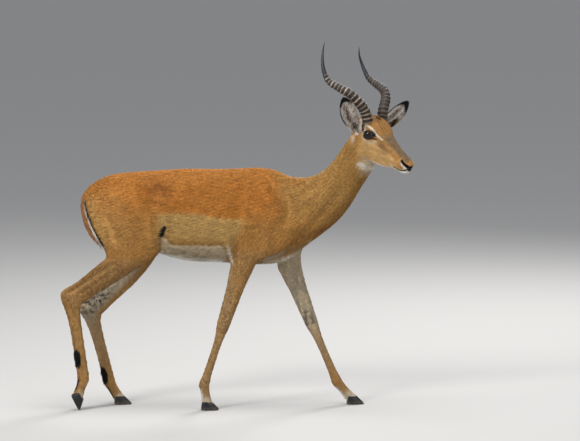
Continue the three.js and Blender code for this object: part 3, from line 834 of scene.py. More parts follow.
def horn_surface(side):
    """Points of a horn ring by ring, with each point's share of the length and its crest mask."""
    out = SIDES[side]
    rows = np.array(HORN_PATH, float) * (1, out, 1)
    if side == "left":
        rows[7:, 2] += WORN_TIP
    total = round(HORN_RINGS * RING_STEPS / RINGED_SHARE)
    middle = smooth_path(rows, total)
    along = unit(np.gradient(middle, axis=0))
    across = unit((0, out, 0) - along * (along @ (0, out, 0))[:, None])
    front = np.cross(along, across)
    share = np.linspace(0, 1, total)[:, None]
    turn = np.linspace(0, 2 * np.pi, HORN_SIDES, endpoint=False)[None]
    draw = np.random.default_rng(21)
    phase = (share - 0.02) / (RINGED_SHARE / HORN_RINGS) + 0.13 * np.sin(turn) + 0.05 * np.cos(3 * turn)
    ring = np.floor(phase).astype(int) % RING_DRAWS
    place = phase % 1
    crest = np.minimum(np.clip((place - 0.04) / 0.62, 0, 1) ** 1.5, step(1.0, 0.72, place))
    crest = crest * draw.uniform(0.75, 1.1, RING_DRAWS)[ring]
    fade = step(0.74, 0.6, share) * step(-0.04, 0.0, share) * (0.8 + 0.2 * np.cos(turn - 0.6))
    taper = (1 - share) ** 0.75 * (1 + 0.13 * np.sin(np.pi * np.minimum(1, share / 0.75)))
    uneven = 0.25 * draw.normal(size=HORN_SIDES)[None]
    radius = np.maximum(HORN_RADIUS * taper, 0.5) + fade * ((crest - 0.5) * RING_RELIEF + uneven)
    points = (middle[:, None] + across[:, None] * (0.94 * radius * np.cos(turn))[..., None]
              + front[:, None] * (1.06 * radius * np.sin(turn))[..., None])
    points[0] -= along[0] * ROOT_DEPTH
    return from_level(points), np.broadcast_to(share, radius.shape), crest * fade


for side in SIDES:
    rings, share, crest = horn_surface(side)
    horn = tube("curved_horn_" + side, rings, ends_meet=False)
    alone(horn)
    bpy.ops.object.shade_smooth()
    for name, values in (("horn_along", share), ("horn_crest", crest)):
        field = horn.data.attributes.new(name, "FLOAT", "POINT")
        field.data.foreach_set("value", values.ravel().astype(np.float32))
    pieces[horn.name] = horn
print("horns:", [len(pieces["curved_horn_" + side].data.polygons) for side in SIDES], "faces")

# %% Hooves
for node in sorted(frame["nodes"]):
    if node.startswith("hoof"):
        claw = copy_node(node, node.replace("hoof", "claw"))
        with editing(claw):
            bpy.ops.mesh.dissolve_limited(angle_limit=math.radians(2))
        apply(claw, "BEVEL", width=0.0014, segments=2, limit_method="ANGLE", angle_limit=math.radians(40))
        apply(claw, "TRIANGULATE")
        apply(claw, "SUBSURF", levels=2, render_levels=2, subdivision_type="SIMPLE")
        low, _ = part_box(node)
        smooth(claw, "wall", step(low.z + 0.001, low.z + 0.004, points_of(claw)[:, 2]), 3)
        bpy.ops.object.shade_smooth_by_angle(angle=math.radians(50))
        pieces[claw.name] = claw
print(sum(name.startswith("claw") for name in pieces), "claws")

# %% [markdown]
# ## Colours of the coat
# An impala is rufous on the back, fawn on the flank and white below, with sharp black marks. Each
# mark is a shape in millimetres: a band of height, a path with a width, or a stretch of a leg. One
# function gives the colour of any point, and both the skin and the locks ask it, so they agree.
# Some light and shade is painted into these colours too: a lit top of the back and rear quarter, and shade in
# the flank's hollow and fold and under the belly, chest, neck and throat.

# %% Palette
RUFOUS = (0.40, 0.155, 0.028)
# rufous lightened as painted light for the lit top of the back
LIT_RUFOUS_TOP = (0.42, 0.168, 0.034)
TAN = (0.37, 0.182, 0.048)
NECK_TAN = (0.37, 0.200, 0.058)
FAWN = (0.41, 0.250, 0.084)
# dark tone of the line on the flank, also used as painted shade under the neck
FLANK_LINE_AND_NECK_SHADE = (0.23, 0.105, 0.028)
CREAM = (0.54, 0.455, 0.320)
WHITE = (0.72, 0.685, 0.610)
GREY = (0.32, 0.285, 0.215)
LEG_TAN = (0.37, 0.210, 0.076)
BROWN = (0.115, 0.058, 0.026)
NOSE_GREY = (0.17, 0.112, 0.062)
FACE_TAN = (0.42, 0.240, 0.082)
BLACK = (0.010, 0.009, 0.009)
# the belly's pale tone, darkened as painted shade
SHADED_BELLY = (0.36, 0.285, 0.185)
# a lighter tone as painted light on the rear quarter
LIT_HAUNCH = (0.56, 0.325, 0.110)
# painted shade for the hollow of the flank
HOLLOW_SHADE = (0.22, 0.080, 0.022)
CHEEK = (0.60, 0.390, 0.165)
TAIL_ORANGE = (0.50, 0.225, 0.080)
EAR_INSIDE = (0.78, 0.71, 0.64)
TAIL_LINE = [(-404, 740), (-410, 707), (-402, 665), (-386, 623), (-364, 590), (-344, 561)]


def waves(points_mm, size, seed):
    """A soft random pattern from -1 to 1, made of a few crossed waves."""
    draw = np.random.default_rng(seed)
    total = np.zeros(len(points_mm))
    for _ in range(7):
        direction = unit(draw.normal(size=3)) * 2 * np.pi / (size * draw.uniform(0.7, 1.5))
        total += np.sin(points_mm @ direction + draw.uniform(0, 2 * np.pi))
    return np.clip(total / 3.2, -1, 1)


def paint(colours, tone, mask):
    """Lays a tone over the colours where the mask is 1."""
    return colours + (np.array(tone) - colours) * np.clip(mask, 0, 1)[:, None]


def along_path(flat, path, width, soft):
    """A band of this half width round a path, with a soft edge, and how far along the path."""
    away, along = path_away(flat, path)
    return step(width + soft, width - soft, away), along


# %% Marks of the body


def body_colours(p, n):
    """Colours of trunk, neck and tail at points p with outward normals n."""
    x, y, z = p.T
    flat = p[:, [0, 2]]
    wobble = waves(p, 34, 1)
    fine = waves(p, 9, 2)
    colours = np.tile(np.array(TAN), (len(p), 1))
    arm_edge = 104 + 0.5 * (z - 600)
    mid_flank = step(-150, -128, x) * step(arm_edge + 48, arm_edge - 6, x)
    soft = 60 - 50 * mid_flank  # the saddle's edge is sharp only over the flank
    line = 696 + 3 * wobble - 20 * step(-60, 150, x)
    colours = paint(colours, FAWN, mid_flank * step(line + 8, line - 8, z))
    halo = step(150, 60, x) * step(-170, -130, x) * step(line + 30, line - 10, z)
    colours = paint(colours, FAWN, 0.55 * halo)
    saddle = step(line - soft, line + soft, z) * step(330, 250, x)
    colours = paint(colours, RUFOUS, saddle)
    # Painted light: the top of the back is lighter, where the light from above falls on it.
    colours = paint(colours, LIT_RUFOUS_TOP, saddle * step(770, 825, z + 4 * fine))
    on_neck = step(250, 360, x + 0.25 * (z - 700))
    colours = paint(colours, NECK_TAN, on_neck * step(0.2, 0.9, step(520, 800, z) + 0.15 * wobble))
    colours = paint(colours, RUFOUS, 0.45 * on_neck * step(0.35, 0.9, n[:, 2]) * step(420, 330, x))
    # Painted shade: the underside of the neck, where it faces down, is darkened.
    colours = paint(colours, FLANK_LINE_AND_NECK_SHADE, 0.6 * on_neck * step(-0.15, -0.7, n[:, 2]) * step(560, 640, z))
    # Flank: a darker line, then the pale belly, painted darker as shade, which reaches up in front of the
    # thigh.
    belly_line = 582 + 30 * step(-92, -128, x) - 22 * step(72, 106, x) + 2.5 * fine
    under = step(-133, -124, x) * step(122, 106, x)
    colours = paint(colours, FLANK_LINE_AND_NECK_SHADE, 0.55 * under * step(belly_line + 30, belly_line + 8, z))
    colours = paint(colours, CREAM, 0.8 * under * step(belly_line + 3, belly_line - 3, z))
    colours = paint(colours, SHADED_BELLY, 0.9 * under * step(belly_line - 2, belly_line - 14, z))
    below = step(-0.72, -0.98, n[:, 2]) * step(640, 560, z) * step(420, 370, x) * step(-330, -280, x)
    colours = paint(colours, WHITE, below * (1 - step(-125, -150, x) * step(46, 62, np.abs(y))))
    # Painted shade: the chest's underside, facing down, is darkened with the shaded belly tone.
    shaded_chest = step(-0.5, -0.8, n[:, 2]) * step(600, 560, z) * step(108, 120, x) * step(400, 370, x)
    colours = paint(colours, SHADED_BELLY, 0.7 * shaded_chest)
    between = step(52, 36, np.abs(y)) * step(560, 530, z)  # inner faces of the thighs and elbows
    colours = paint(colours, WHITE, between)
    rise = 0.16 * (x - 290)
    brisket = step(538 + rise, 527 + rise, z + 4 * fine) * step(205, 235, x) * step(400, 372, x)
    colours = paint(colours, CREAM, 0.8 * brisket)
    edge, _ = along_path(flat, [(392, 592), (376, 556), (352, 528)], 6, 6)
    colours = paint(colours, CREAM, 0.6 * edge)
    # Black spot where the flank's fold begins, and a thin line of painted shade that runs down the fold's
    # crease from it.
    spot, _ = along_path(flat, [(-130, 619), (-126, 630), (-120, 643)], 7.6 + 1.2 * fine, 1.6)
    fold, _ = along_path(flat, [(-134, 612), (-136, 582), (-137, 552)], 2.2, 1.6)
    colours = paint(colours, BROWN, 0.75 * fold)
    colours = paint(colours, BLACK, spot)
    # Buttocks: white behind a ragged black stripe.
    stripe_x = -399 + 63 * np.clip((728 - z) / 151, 0, 1.4) ** 1.25
    height = step(742, 724, z) * step(566, 584, z)
    ragged = 3.2 * waves(p * (1, 1, 2.4), 15, 3)
    behind = step(stripe_x + 66, stripe_x + 14, x) * step(stripe_x - 4, stripe_x + 6, x)
    # Painted light: the rear quarter, in front of the stripe and over the haunch, is lighter where the light
    # falls on it.
    colours = paint(colours, LIT_HAUNCH, 0.6 * behind * step(760, 715, z) * step(560, 600, z))
    lit_haunch = step(-200, -320, x) * step(800, 740, z) * step(520, 600, z) * (x > stripe_x)
    colours = paint(colours, LIT_HAUNCH, 0.3 * lit_haunch)
    # Painted shade in the hollow of the flank, in front of the hip.
    hollow = step(1, 0.2, np.hypot((x + 136 + 0.35 * (z - 765)) / 66, (z - 768) / 80))
    colours = paint(colours, HOLLOW_SHADE, 0.5 * hollow)
    colours = paint(colours, WHITE, height * step(stripe_x + 4, stripe_x - 3, x))
    stripe = step(6.8, 4.2, np.abs(x - stripe_x - 0.6 * ragged) - 0.3 * ragged)
    colours = paint(colours, BLACK, height * stripe)
    # Tail: orange with pale edges and a dark middle line.
    away, along = path_away(flat, TAIL_LINE)
    on_tail = step(29, 24, away) * step(26, 22, np.abs(y)) * (x < -330) * (z < 765)
    on_tail = on_tail * step(stripe_x + 2, stripe_x - 4, x)
    colours = paint(colours, TAIL_ORANGE, on_tail)
    colours = paint(colours, WHITE, on_tail * np.maximum(step(0.2, 0.6, n[:, 0]), step(0.86, 0.97, along)))
    middle_line = step(3.4, 1.8, np.abs(y)) * step(0.05, 0.2, along) * step(-0.1, -0.5, n[:, 0])
    colours = paint(colours, BLACK, on_tail * middle_line)
    return colours


print("body colours defined")

# %% Marks of the legs
# The scent glands over the hind heels: place down the leg, mm ahead of its line, half length.
GLANDS = {"hindleg_right": (2.72, -11, 0.105), "hindleg_left": (2.87, -13, 0.115)}
GLAND_WIDE = 13.5  # half the width in mm


def leg_colours(p, n, colours):
    """The colours of the body with those of the legs painted over them."""
    fine = waves(p, 8, 4)
    coarse = waves(p, 24, 5)
    for leg in LEG_JOINTS:
        at, ahead, near = leg_place(p, leg)
        side = SIDES[leg.split("_")[1]]
        fore = leg.startswith("fore")
        fade = step(585, 540, p[:, 2]) if fore else step(560, 500, p[:, 2])
        on_leg = near * fade * (step(-64, -52, ahead) if fore else 1)
        colours = paint(colours, LEG_TAN, 0.8 * on_leg)
        inner = step(0.05, -0.45, n[:, 1] * side)
        pale = inner * (0.35 + 0.65 * step(2.25, 1.9, at)) * (1 if fore else step(30, 2, ahead))
        colours = paint(colours, CREAM, 0.75 * near * pale * step(3.05, 2.2, at))
        grey = (0.3 if fore else 0.55) + 0.3 * coarse
        colours = paint(colours, GREY, near * pale * grey * step(3.0, 2.0, at) * step(0.0, 0.5, at))
        colours = paint(colours, BROWN, 0.28 * on_leg * step(0.25, 0.9, np.abs(coarse)) * (1 - inner))
        if fore:
            elbow = np.array(LEG_JOINTS[leg][0])[[0, 2]] + [(-77, -26), (-71, -54), (-63, -86)]
            colours = paint(colours, WHITE, 0.8 * near * along_path(p[:, [0, 2]], elbow, 3.0, 3)[0])
            knee = step(0.22, 0.08, np.abs(at - 1.87)) * step(24, 12, np.abs(ahead + 4)) * inner
            colours = paint(colours, BLACK, 0.6 * near * knee * step(-0.5, 0.5, fine + coarse))
            band = near * step(3.42, 3.72, at + 0.05 * fine)
            colours = paint(colours, CREAM, 0.9 * band)
            colours = paint(colours, WHITE, 0.8 * near * step(3.0, 3.3, at) * step(-6, -12, ahead))
        else:
            colours = paint(colours, BROWN, 0.3 * on_leg * step(2.0, 1.6, at) * (1 - inner))
            mottle = step(-0.25, 0.35, waves(p, 13, 6) + 0.5 * fine)
            hollow = inner * step(1.2, 1.55, at) * step(2.12, 1.95, at) * step(20, 2, ahead)
            colours = paint(colours, BLACK, 0.8 * near * hollow * mottle)
            gland_at, gland_ahead, half_length = GLANDS[leg]
            oval = np.hypot((at - gland_at) / half_length, (ahead - gland_ahead) / GLAND_WIDE)
            colours = paint(colours, BLACK, near * step(1.08, 0.94, oval + 0.06 * fine))
            heel = step(3.02, 3.1, at) * step(3.78, 3.6, at) * step(-11, -14, ahead)
            colours = paint(colours, BLACK, 0.95 * near * heel)
            colours = paint(colours, CREAM, 0.7 * near * step(3.5, 3.8, at) * step(-8, -2, ahead))
    return colours


print("leg colours defined")

# %% Marks of the head and ears
BROW = [(-32, 19), (-16, 23), (-3, 24), (10, 21), (23, 16), (36, 12), (49, 8)]
UNDER_EYE = [(-25, -15), (-12, -23), (7, -25), (24, -21), (33, -11)]
EAR_REACH = 46  # how far from an ear's middle line its colours are looked for, mm


def ear_place(p, n):
    """Per point: share along the ear, share across it, if it is the inner face, and closeness."""
    share, across, inner, near = np.zeros((4, len(p)))
    for side in SIDES:
        steps = np.linspace(0, 1, 41)
        place, along, facing, _ = ear_frame(side, steps)
        gap = np.linalg.norm(p[:, None, :] - place[None], axis=2)
        nearest = gap.argmin(axis=1)
        away = gap[np.arange(len(p)), nearest]
        ahead = facing[nearest]
        sideways = np.cross(along[nearest], ahead)
        offset = p - place[nearest]
        here = (away < EAR_REACH) & ((steps[nearest] > 0.03) | (away < 22))
        share = np.where(here, steps[nearest], share)
        leaf = ear_leaf(steps[nearest]) * EAR_WIDTH / 2
        across = np.where(here, (offset * sideways).sum(1) / np.maximum(leaf, 3), across)
        open_face = (n * ahead).sum(1)
        low = step(0.26, 0.16, steps[nearest]) * step(-0.75, -0.35, open_face)
        inner = np.where(here, np.maximum(step(-0.15, 0.25, open_face), low), inner)
        begun = steps[nearest] + 0.12 * inner * step(21, 14, away)
        near = np.where(here, step(0.04, 0.12, begun), near)
    return share, across, inner, near


def head_colours(p, n, colours):
    """The colours so far with those of the face, throat and ears painted over them."""
    q = in_head(p)
    level = in_level(p)
    turn = n @ head_axes
    u, v, w = q.T
    flat = q[:, [0, 2]]
    fine = waves(p, 6, 7)
    coarse = waves(p, 17, 8)
    on_head = head_share(p)
    tone = np.tile(np.array(FACE_TAN), (len(p), 1))
    tone = paint(tone, RUFOUS, 0.2 + 0.15 * coarse)
    cheek = step(-8, -24, w) * step(-34, -4, u) * step(150, 110, u) * (0.8 + 0.2 * coarse)
    tone = paint(tone, CHEEK, 0.7 * cheek)
    forehead = step(0.25, 0.75, turn[:, 2]) * step(72, 40, u)
    streaks = step(0.15, 0.7, np.cos(v / 2.3 + 1.3 * np.sin(u / 17)) * 0.6 + 0.5 * waves(p, 11, 9))
    tone = paint(tone, TAN, 0.6 * forehead)
    tone = paint(tone, BROWN, 0.25 * forehead)
    tone = paint(tone, BROWN, 0.62 * forehead * streaks * step(-46, -30, u) * step(26, 20, np.abs(v)))
    bridge = step(0.15, 0.6, turn[:, 2]) * step(34, 66, u) * step(180, 166, u)
    tone = paint(tone, NOSE_GREY, bridge)
    tone = paint(tone, BROWN, 0.4 * bridge * step(0.2, 0.8, fine + 0.4 * coarse))
    away, _ = path_away(flat, [(50, -4), (66, -12), (84, -20)])
    tone = paint(tone, BROWN, 0.35 * step(14, 4, away))
    away, _ = path_away(flat, [(96, -10), (130, -16)])
    tone = paint(tone, BROWN, 0.22 * step(9, 2, away) * step(-0.2, 0.6, fine))
    # Pale parts: brow, ring under the eye, jaw, lips and chin.
    away, along = path_away(flat, BROW)
    brow = step(4.4 - 1.4 * along, 2.2 - 0.9 * along, away) * step(0.08, 0.35, np.abs(turn[:, 1]))
    tone = paint(tone, WHITE, brow * (0.4 + 0.4 * step(0.1, 0.4, along)))
    tone = paint(tone, CREAM, 0.6 * along_path(flat, UNDER_EYE, 6, 5)[0])
    jaw_line = np.interp(u, [10, 37, 73, 112, 143, 187], [-103, -92, -80, -62, -47, -30])
    jaw = step(jaw_line + 6, jaw_line - 7, w + 2.5 * coarse) * step(-6, 26, u)
    tone = paint(tone, CREAM, 0.8 * jaw)
    tone = paint(tone, WHITE, 0.7 * step(-0.5, -0.8, turn[:, 2]) * step(10, 40, u))
    lip_line = np.interp(u, [120, 132, 148, 163, 175, 184, 189], [-46, -46, -44.5, -40.5, -33, -22, -16])
    below_lip = step(lip_line + 5.5, lip_line + 2.5, w)
    tone = paint(tone, CREAM, 0.9 * step(112, 126, u) * below_lip)
    tone = paint(tone, WHITE, 0.7 * step(150, 170, u) * below_lip)
    tone = paint(tone, WHITE, 0.85 * step(170, 180, u) * step(-6, -12, w + 0.4 * (188 - u)))
    tone = paint(tone, WHITE, 0.6 * along_path(flat, [(160, -14), (176, -19)], 5, 3)[0])
    # Dark parts: behind the eye, mouth, nostrils, and the bare lids.
    sideways = np.abs(turn[:, 1])
    temple = along_path(flat, [(-43, 12), (-41, 4), (-30, -4)], 6.0 + fine, 2.0)[0]
    tone = paint(tone, BLACK, 0.95 * temple * step(0.2, 0.5, sideways))
    duct, along = path_away(flat, [(18, -5), (27, -2), (38, 2)])
    tone = paint(tone, BLACK, step(4.5 - 3 * along, 2.5 - 2 * along, duct) * step(0.2, 0.5, sideways))
    mouth, _ = along_path(flat, MOUTH, 2.6, 1.0)
    tone = paint(tone, BLACK, mouth * step(0.1, 0.3, sideways + 0.4 * (u > 182)))
    away, along = path_away(flat, NOSTRIL)
    tone = paint(tone, BLACK, step(5.4 + 1.6 * along, 4.0 + 1.6 * along, away))
    pad = along_path(flat, [(185, -12), (188, -18), (188.5, -25)], 4.2, 1.5)[0] * step(13, 9, np.abs(v))
    tone = paint(tone, BLACK, pad)
    for side in SIDES:
        _, away, edge, outward = eye_place(p, side)
        bare = (away < LIDS_REACH) * (outward > 2)
        tone = paint(tone, BROWN, 0.7 * bare * step(11, 5, edge + fine))
        tone = paint(tone, BLACK, bare * step(6.0, 4.2, edge + 0.6 * fine))
    # Top of the head: dark between and behind the horns, pale tufts at the ears' roots.
    crown = np.linalg.norm(level - (-6, 6, 46), axis=1)
    tone = paint(tone, BLACK, 0.85 * step(15, 10, crown + 2 * fine))
    behind = np.linalg.norm(level - (-40, 0, 50), axis=1)
    tone = paint(tone, BROWN, 0.55 * step(30, 18, behind))
    outward = np.abs(level[:, 1])
    pale = np.hypot(0.743 * level[:, 0] - 0.669 * outward + 87, (level[:, 2] + 20) / 2.4)
    pale = 0.4 * step(9, 2, pale + 2 * fine) * (outward > 22)
    tuft = np.linalg.norm(np.column_stack([level[:, 0], outward, level[:, 2]]) - (-58, 34, 50), axis=1)
    tone = paint(tone, WHITE, 0.8 * step(13, 8, tuft))
    colours = paint(colours, (0, 0, 0), on_head) + tone * on_head[:, None]
    colours = paint(colours, WHITE, pale)
    # Throat: a white patch below the jaw, with grey painted shade round it where the throat faces down.
    away = np.linalg.norm((q - (18, 0, -122)) * (0.8, 0.55, 1), axis=1)
    colours = paint(colours, GREY, 0.6 * step(46, 24, away) * step(-0.1, -0.5, turn[:, 2] - 0.2))
    patch, _ = along_path(flat, [(8, -122), (26, -128)], 8 + 2 * coarse, 6)
    colours = paint(colours, WHITE, 0.7 * patch * (np.abs(v) < 60))
    # Ears: brown outside, pale with dark streaks inside, black rim and tip.
    share, across, inner, near = ear_place(p, n)
    near = near * (1 - temple)
    ear = np.tile(np.array(FACE_TAN), (len(p), 1))
    ear = paint(ear, BROWN, 0.35 + 0.2 * coarse)
    inside = np.tile(np.array(EAR_INSIDE), (len(p), 1))
    streak = np.cos(across * 7.5 + 1.5 * share) * 0.5 + 0.9 * waves(p * (1, 1, 0.6), 9, 10)
    streak = step(0.0, 0.45, streak)
    middle = step(0.2, 0.34, share) * step(0.92, 0.7, share)
    inside = paint(inside, BROWN, 0.85 * streak * middle * step(0.85, 0.6, np.abs(across)))
    inside = paint(inside, BROWN, 0.35 * middle * step(0.5, 0.1, np.abs(across + 0.1)))
    root = step(0.24, 0.16, share) * step(0.5, 0.25, np.abs(across))
    inside = paint(inside, BROWN, 0.8 * root * step(-0.3, 0.5, fine + 0.4))
    ear = ear + (inside - ear) * inner[:, None]
    ear = paint(ear, BLACK, 0.92 * step(-0.78, -0.9, across) * step(0.22, 0.4, share))
    rim = step(0.7, 0.8, across) * step(0.97, 0.9, across) * step(0.1, 0.2, share)
    ear = paint(ear, BROWN, 0.6 * rim * inner)
    ear = paint(ear, BLACK, step(0.83, 0.87, share + 0.03 * fine + 0.05 * (1 - inner) + 0.1 * across**2))
    return colours + (ear - colours) * near[:, None]


def coat_colours(p, n):
    """The colour of the coat at points p (mm) with outward normals n, painted light and shade included."""
    return np.clip(head_colours(p, n, leg_colours(p, n, body_colours(p, n))), 0.004, 1)


print("head colours defined")

# %% [markdown]
# ## The lie of the coat
# Hair points back from the nose along the neck and trunk and down the legs. The field below gives
# that direction anywhere. It guides the locks, and shares of it tell the skin's bump which way to
# stretch its grain.

# %% Lie of the hair


def coat_lie(p, n):
    """Direction of the hair along the skin at points p (mm)."""
    x, _, z = p.T
    run = np.tile(np.array([-1.0, 0, -0.16]), (len(p), 1))

    def lay(direction, share):
        nonlocal run
        run = run + (np.asarray(direction) - run) * np.clip(share, 0, 1)[:, None]

    lay((-0.62, 0, -0.72), step(730, 560, z) * step(-150, -260, x))
    lay((-0.42, 0, -0.88), step(720, 560, z) * step(60, 150, x) * step(400, 330, x))
    lay((-0.8, 0, -0.45), step(700, 560, z) * step(-120, 0, x) * step(90, 30, x))
    neck = step(300, 400, x + 0.3 * (z - 700))
    lay((-0.60, 0, -0.78), neck)
    lay((-0.2, 0, -1.0), step(540, 450, z))
    away, along = path_away(p[:, [0, 2]], TAIL_LINE)
    tail_run = np.interp(along, [0.1, 0.3, 0.5, 0.7, 0.9], np.diff(np.array(TAIL_LINE)[:, 0]) / 40)
    lay(np.column_stack([tail_run, 0 * x, 0 * x - 1.0]), step(30, 24, away) * (x < -330) * step(770, 745, z))
    back = -head_axes[:, 0]
    lay(back * 0.95 + np.array([0, 0, -0.22]), head_share(p))
    q = in_head(p)
    on_top = head_share(p) * step(20, -10, q[:, 0]) * step(0.4, 0.8, n @ head_axes[:, 2])
    lay(-back * 0.4 + head_axes[:, 2] * 0.9, on_top * 0.5)
    share, _, _, near = ear_place(p, n)
    for side in SIDES:
        here = near * (q[:, 1] * SIDES[side] > 0)
        along = ear_line(side, np.clip(share, 0, 1))[1]
        run = run + (along - run) * np.clip(here, 0, 1)[:, None]
    run = run - n * (run * n).sum(1)[:, None]
    return unit(run)


skin_mm = to_mm(points_of(skin))
normals = normals_of(skin)
print("the coat's lie is set")

# %% Sink the skin by the coat's depth
q = in_head(skin_mm)
depth = 1.4 - 0.7 * head_share(skin_mm) - 0.8 * leg_share(skin_mm)
depth *= 1 - 0.7 * step(140, 175, q[:, 0]) * head_share(skin_mm)
depth = np.maximum(depth, 0.25) * step(30, 60, skin_mm[:, 2])
for side in SIDES:
    _, away, edge, _ = eye_place(skin_mm, side)
    depth *= np.where(away < LIDS_REACH, step(1, 9, np.abs(edge)), 1)
depth *= 1 - 0.9 * ear_place(skin_mm, normals)[3]
set_points(skin, to_m(skin_mm - normals * depth[:, None]))
print("coat depth up to", round(depth.max(), 2), "mm")

# %% Unwrap and paint the skin
with editing(skin):
    bpy.ops.mesh.remove_doubles(threshold=MERGE)
    bpy.ops.mesh.dissolve_degenerate(threshold=0.00001)
    bpy.ops.mesh.quads_convert_to_tris(quad_method="BEAUTY", ngon_method="BEAUTY")
while skin.data.uv_layers:
    skin.data.uv_layers.remove(skin.data.uv_layers[0])
skin.data.uv_layers.new(name="OFBake")
with editing(skin):
    bpy.ops.uv.smart_project(angle_limit=math.radians(66), island_margin=0.001)
bpy.ops.object.shade_smooth()
skin_mm = to_mm(points_of(skin))
normals = normals_of(skin)
painted = np.column_stack([coat_colours(skin_mm, normals), np.ones(len(skin_mm))])
# The coat's colours, with their painted light and shade, as a point attribute.
skin.data.attributes.new("markings", "FLOAT_COLOR", "POINT").data.foreach_set("color", painted.ravel())


def lie_shares(p):
    """Shares of three grain directions: trunk, neck, and legs. What is left is the head."""
    on_head = head_share(p)
    neck = step(300, 400, p[:, 0] + 0.3 * (p[:, 2] - 700)) * (1 - on_head)
    tail = step(-385, -405, p[:, 0]) * step(760, 730, p[:, 2])
    down = np.maximum(step(600, 480, p[:, 2]), tail) * (1 - on_head)
    return np.column_stack([1 - on_head - np.clip(neck + down, 0, 1 - on_head), neck * (1 - down), down])


grain = skin.data.attributes.new("grain", "FLOAT_VECTOR", "POINT")
grain.data.foreach_set("vector", lie_shares(skin_mm).ravel())
print("skin:", len(skin.data.polygons), "triangles, painted")


# %% [markdown]
# ## The coat
# Short hair that lies flat is mostly the skin's own bump. Over it go thin locks, rooted in the skin
# and laid along it, which break the outline and the edges of the markings as real hair does. A lock
# is a closed sliver of ten triangles: three points at the root, three half way and one at the tip.
# They are shortest on the face and feet, and stand out most at the tail, glands, ears and belly.

# %% Where locks can grow
mesh = skin.data
mesh.calc_loop_triangles()
count = len(mesh.loop_triangles)
corner_points = np.empty(count * 3, dtype=np.int32)
corner_loops = np.empty(count * 3, dtype=np.int32)
mesh.loop_triangles.foreach_get("vertices", corner_points)
mesh.loop_triangles.foreach_get("loops", corner_loops)
corner_points, corner_loops = corner_points.reshape(-1, 3), corner_loops.reshape(-1, 3)
unwrap = np.empty(len(mesh.loops) * 2, dtype=np.float32)
mesh.uv_layers["OFBake"].data.foreach_get("uv", unwrap)
unwrap = unwrap.reshape(-1, 2)
corners = skin_mm[corner_points]
face_area = np.linalg.norm(np.cross(corners[:, 1] - corners[:, 0], corners[:, 2] - corners[:, 0]), axis=1) / 2
face_middle = corners.mean(axis=1)
face_normal = unit(np.cross(corners[:, 1] - corners[:, 0], corners[:, 2] - corners[:, 0]))
print("skin area", round(face_area.sum() / 1e6, 3), "m2")

# %% Length, width and lift of the locks
GLAND_TUFT = 0.11  # half length of the tuft over a gland, as a place down the leg
LOCK_AREA = 0.72  # share of its length times its width that a lock covers


def horn_gap(p, side):
    """Distance from the middle line of a horn's root, mm."""
    rows = np.array(HORN_PATH[:3], float) * (1, SIDES[side], 1)
    return np.min([np.linalg.norm(p - from_level(rows[0] + k * (rows[1] - rows[0])), axis=1)
                   for k in np.linspace(-0.3, 1, 14)], axis=0)


def lock_sizes(p, n):
    """Length, width, lift of the tip and closeness of the locks at points p, in mm."""
    x, y, z = p.T
    q = in_head(p)
    on_head = head_share(p)
    length, width, lift = np.full((3, len(p)), 1.0) * np.array([[13.0], [2.1], [1.0]])
    close = np.full(len(p), 0.62)

    def grow(mask, new_length, new_width, new_lift, new_close=0.62):
        nonlocal length, width, lift, close
        mask = np.clip(mask, 0, 1)
        length = length + (new_length - length) * mask
        width = width + (new_width - width) * mask
        lift = lift + (new_lift - lift) * mask
        close = close + (new_close - close) * mask

    grow(step(560, 470, z), 9.5, 1.9, 0.75, 0.66)
    grow(step(330, 200, z), 7.5, 1.5, 0.6, 0.7)
    grow(step(90, 60, z), 6.0, 1.3, 0.6, 0.7)
    grow(step(-0.3, -0.8, n[:, 2]) * step(500, 530, z) * (1 - on_head), 17, 2.2, 2.2)
    grow(step(-340, -372, x) * step(745, 720, z) * step(560, 590, z), 15, 2.0, 2.0)
    away, along = path_away(p[:, [0, 2]], TAIL_LINE)
    on_tail = step(29, 24, away) * step(26, 22, np.abs(y)) * (x < -330)
    grow(on_tail, 17 + 6 * step(0.8, 1, along), 1.7, 1.6, 0.42)
    for leg, (gland_at, gland_ahead, _) in GLANDS.items():
        at, ahead, near = leg_place(p, leg)
        oval = np.hypot((at - gland_at) / GLAND_TUFT, (ahead - gland_ahead) / GLAND_WIDE)
        grow(near * step(1.1, 0.8, oval), 15, 1.7, 3.6, 0.36)
    for leg in ("foreleg_right", "foreleg_left"):
        at, ahead, near = leg_place(p, leg)
        grow(near * step(-32, -38, ahead) * step(0.12, 0.35, at) * step(1.15, 0.9, at), 14, 1.8, 2.2)
    grow(on_head, 6.4, 1.35, 0.55, 0.7)
    grow(on_head * step(60, 110, q[:, 0]), 4.6, 1.15, 0.42, 0.72)
    grow(on_head * step(140, 165, q[:, 0]), 3.0, 0.9, 0.32, 0.85)
    for side in SIDES:
        grow(on_head * step(26, 21, horn_gap(p, side)), 8, 1.2, 2.0)
    share, across, inner, near = ear_place(p, n)
    grow(near, 6.0, 1.2, 0.6, 0.8)
    grow(near * inner * step(1.0, 0.6, np.abs(across)) * step(0.85, 0.6, share), 12, 1.0, 2.6, 1.0)
    grow(near * step(0.86, 0.97, np.abs(across)), 7, 1.0, 1.4, 0.7)
    return length, width, lift, close


def clumps(p, lie):
    """A pattern from about -1 to 1 that is drawn out along the hair."""
    steps = np.linspace(-11, 11, 6)
    total = sum(waves(p + lie * k, 9, 21) + 0.7 * waves(p + lie * k, 15, 22) for k in steps)
    return np.clip(total / 3.6, -1.6, 1.6)


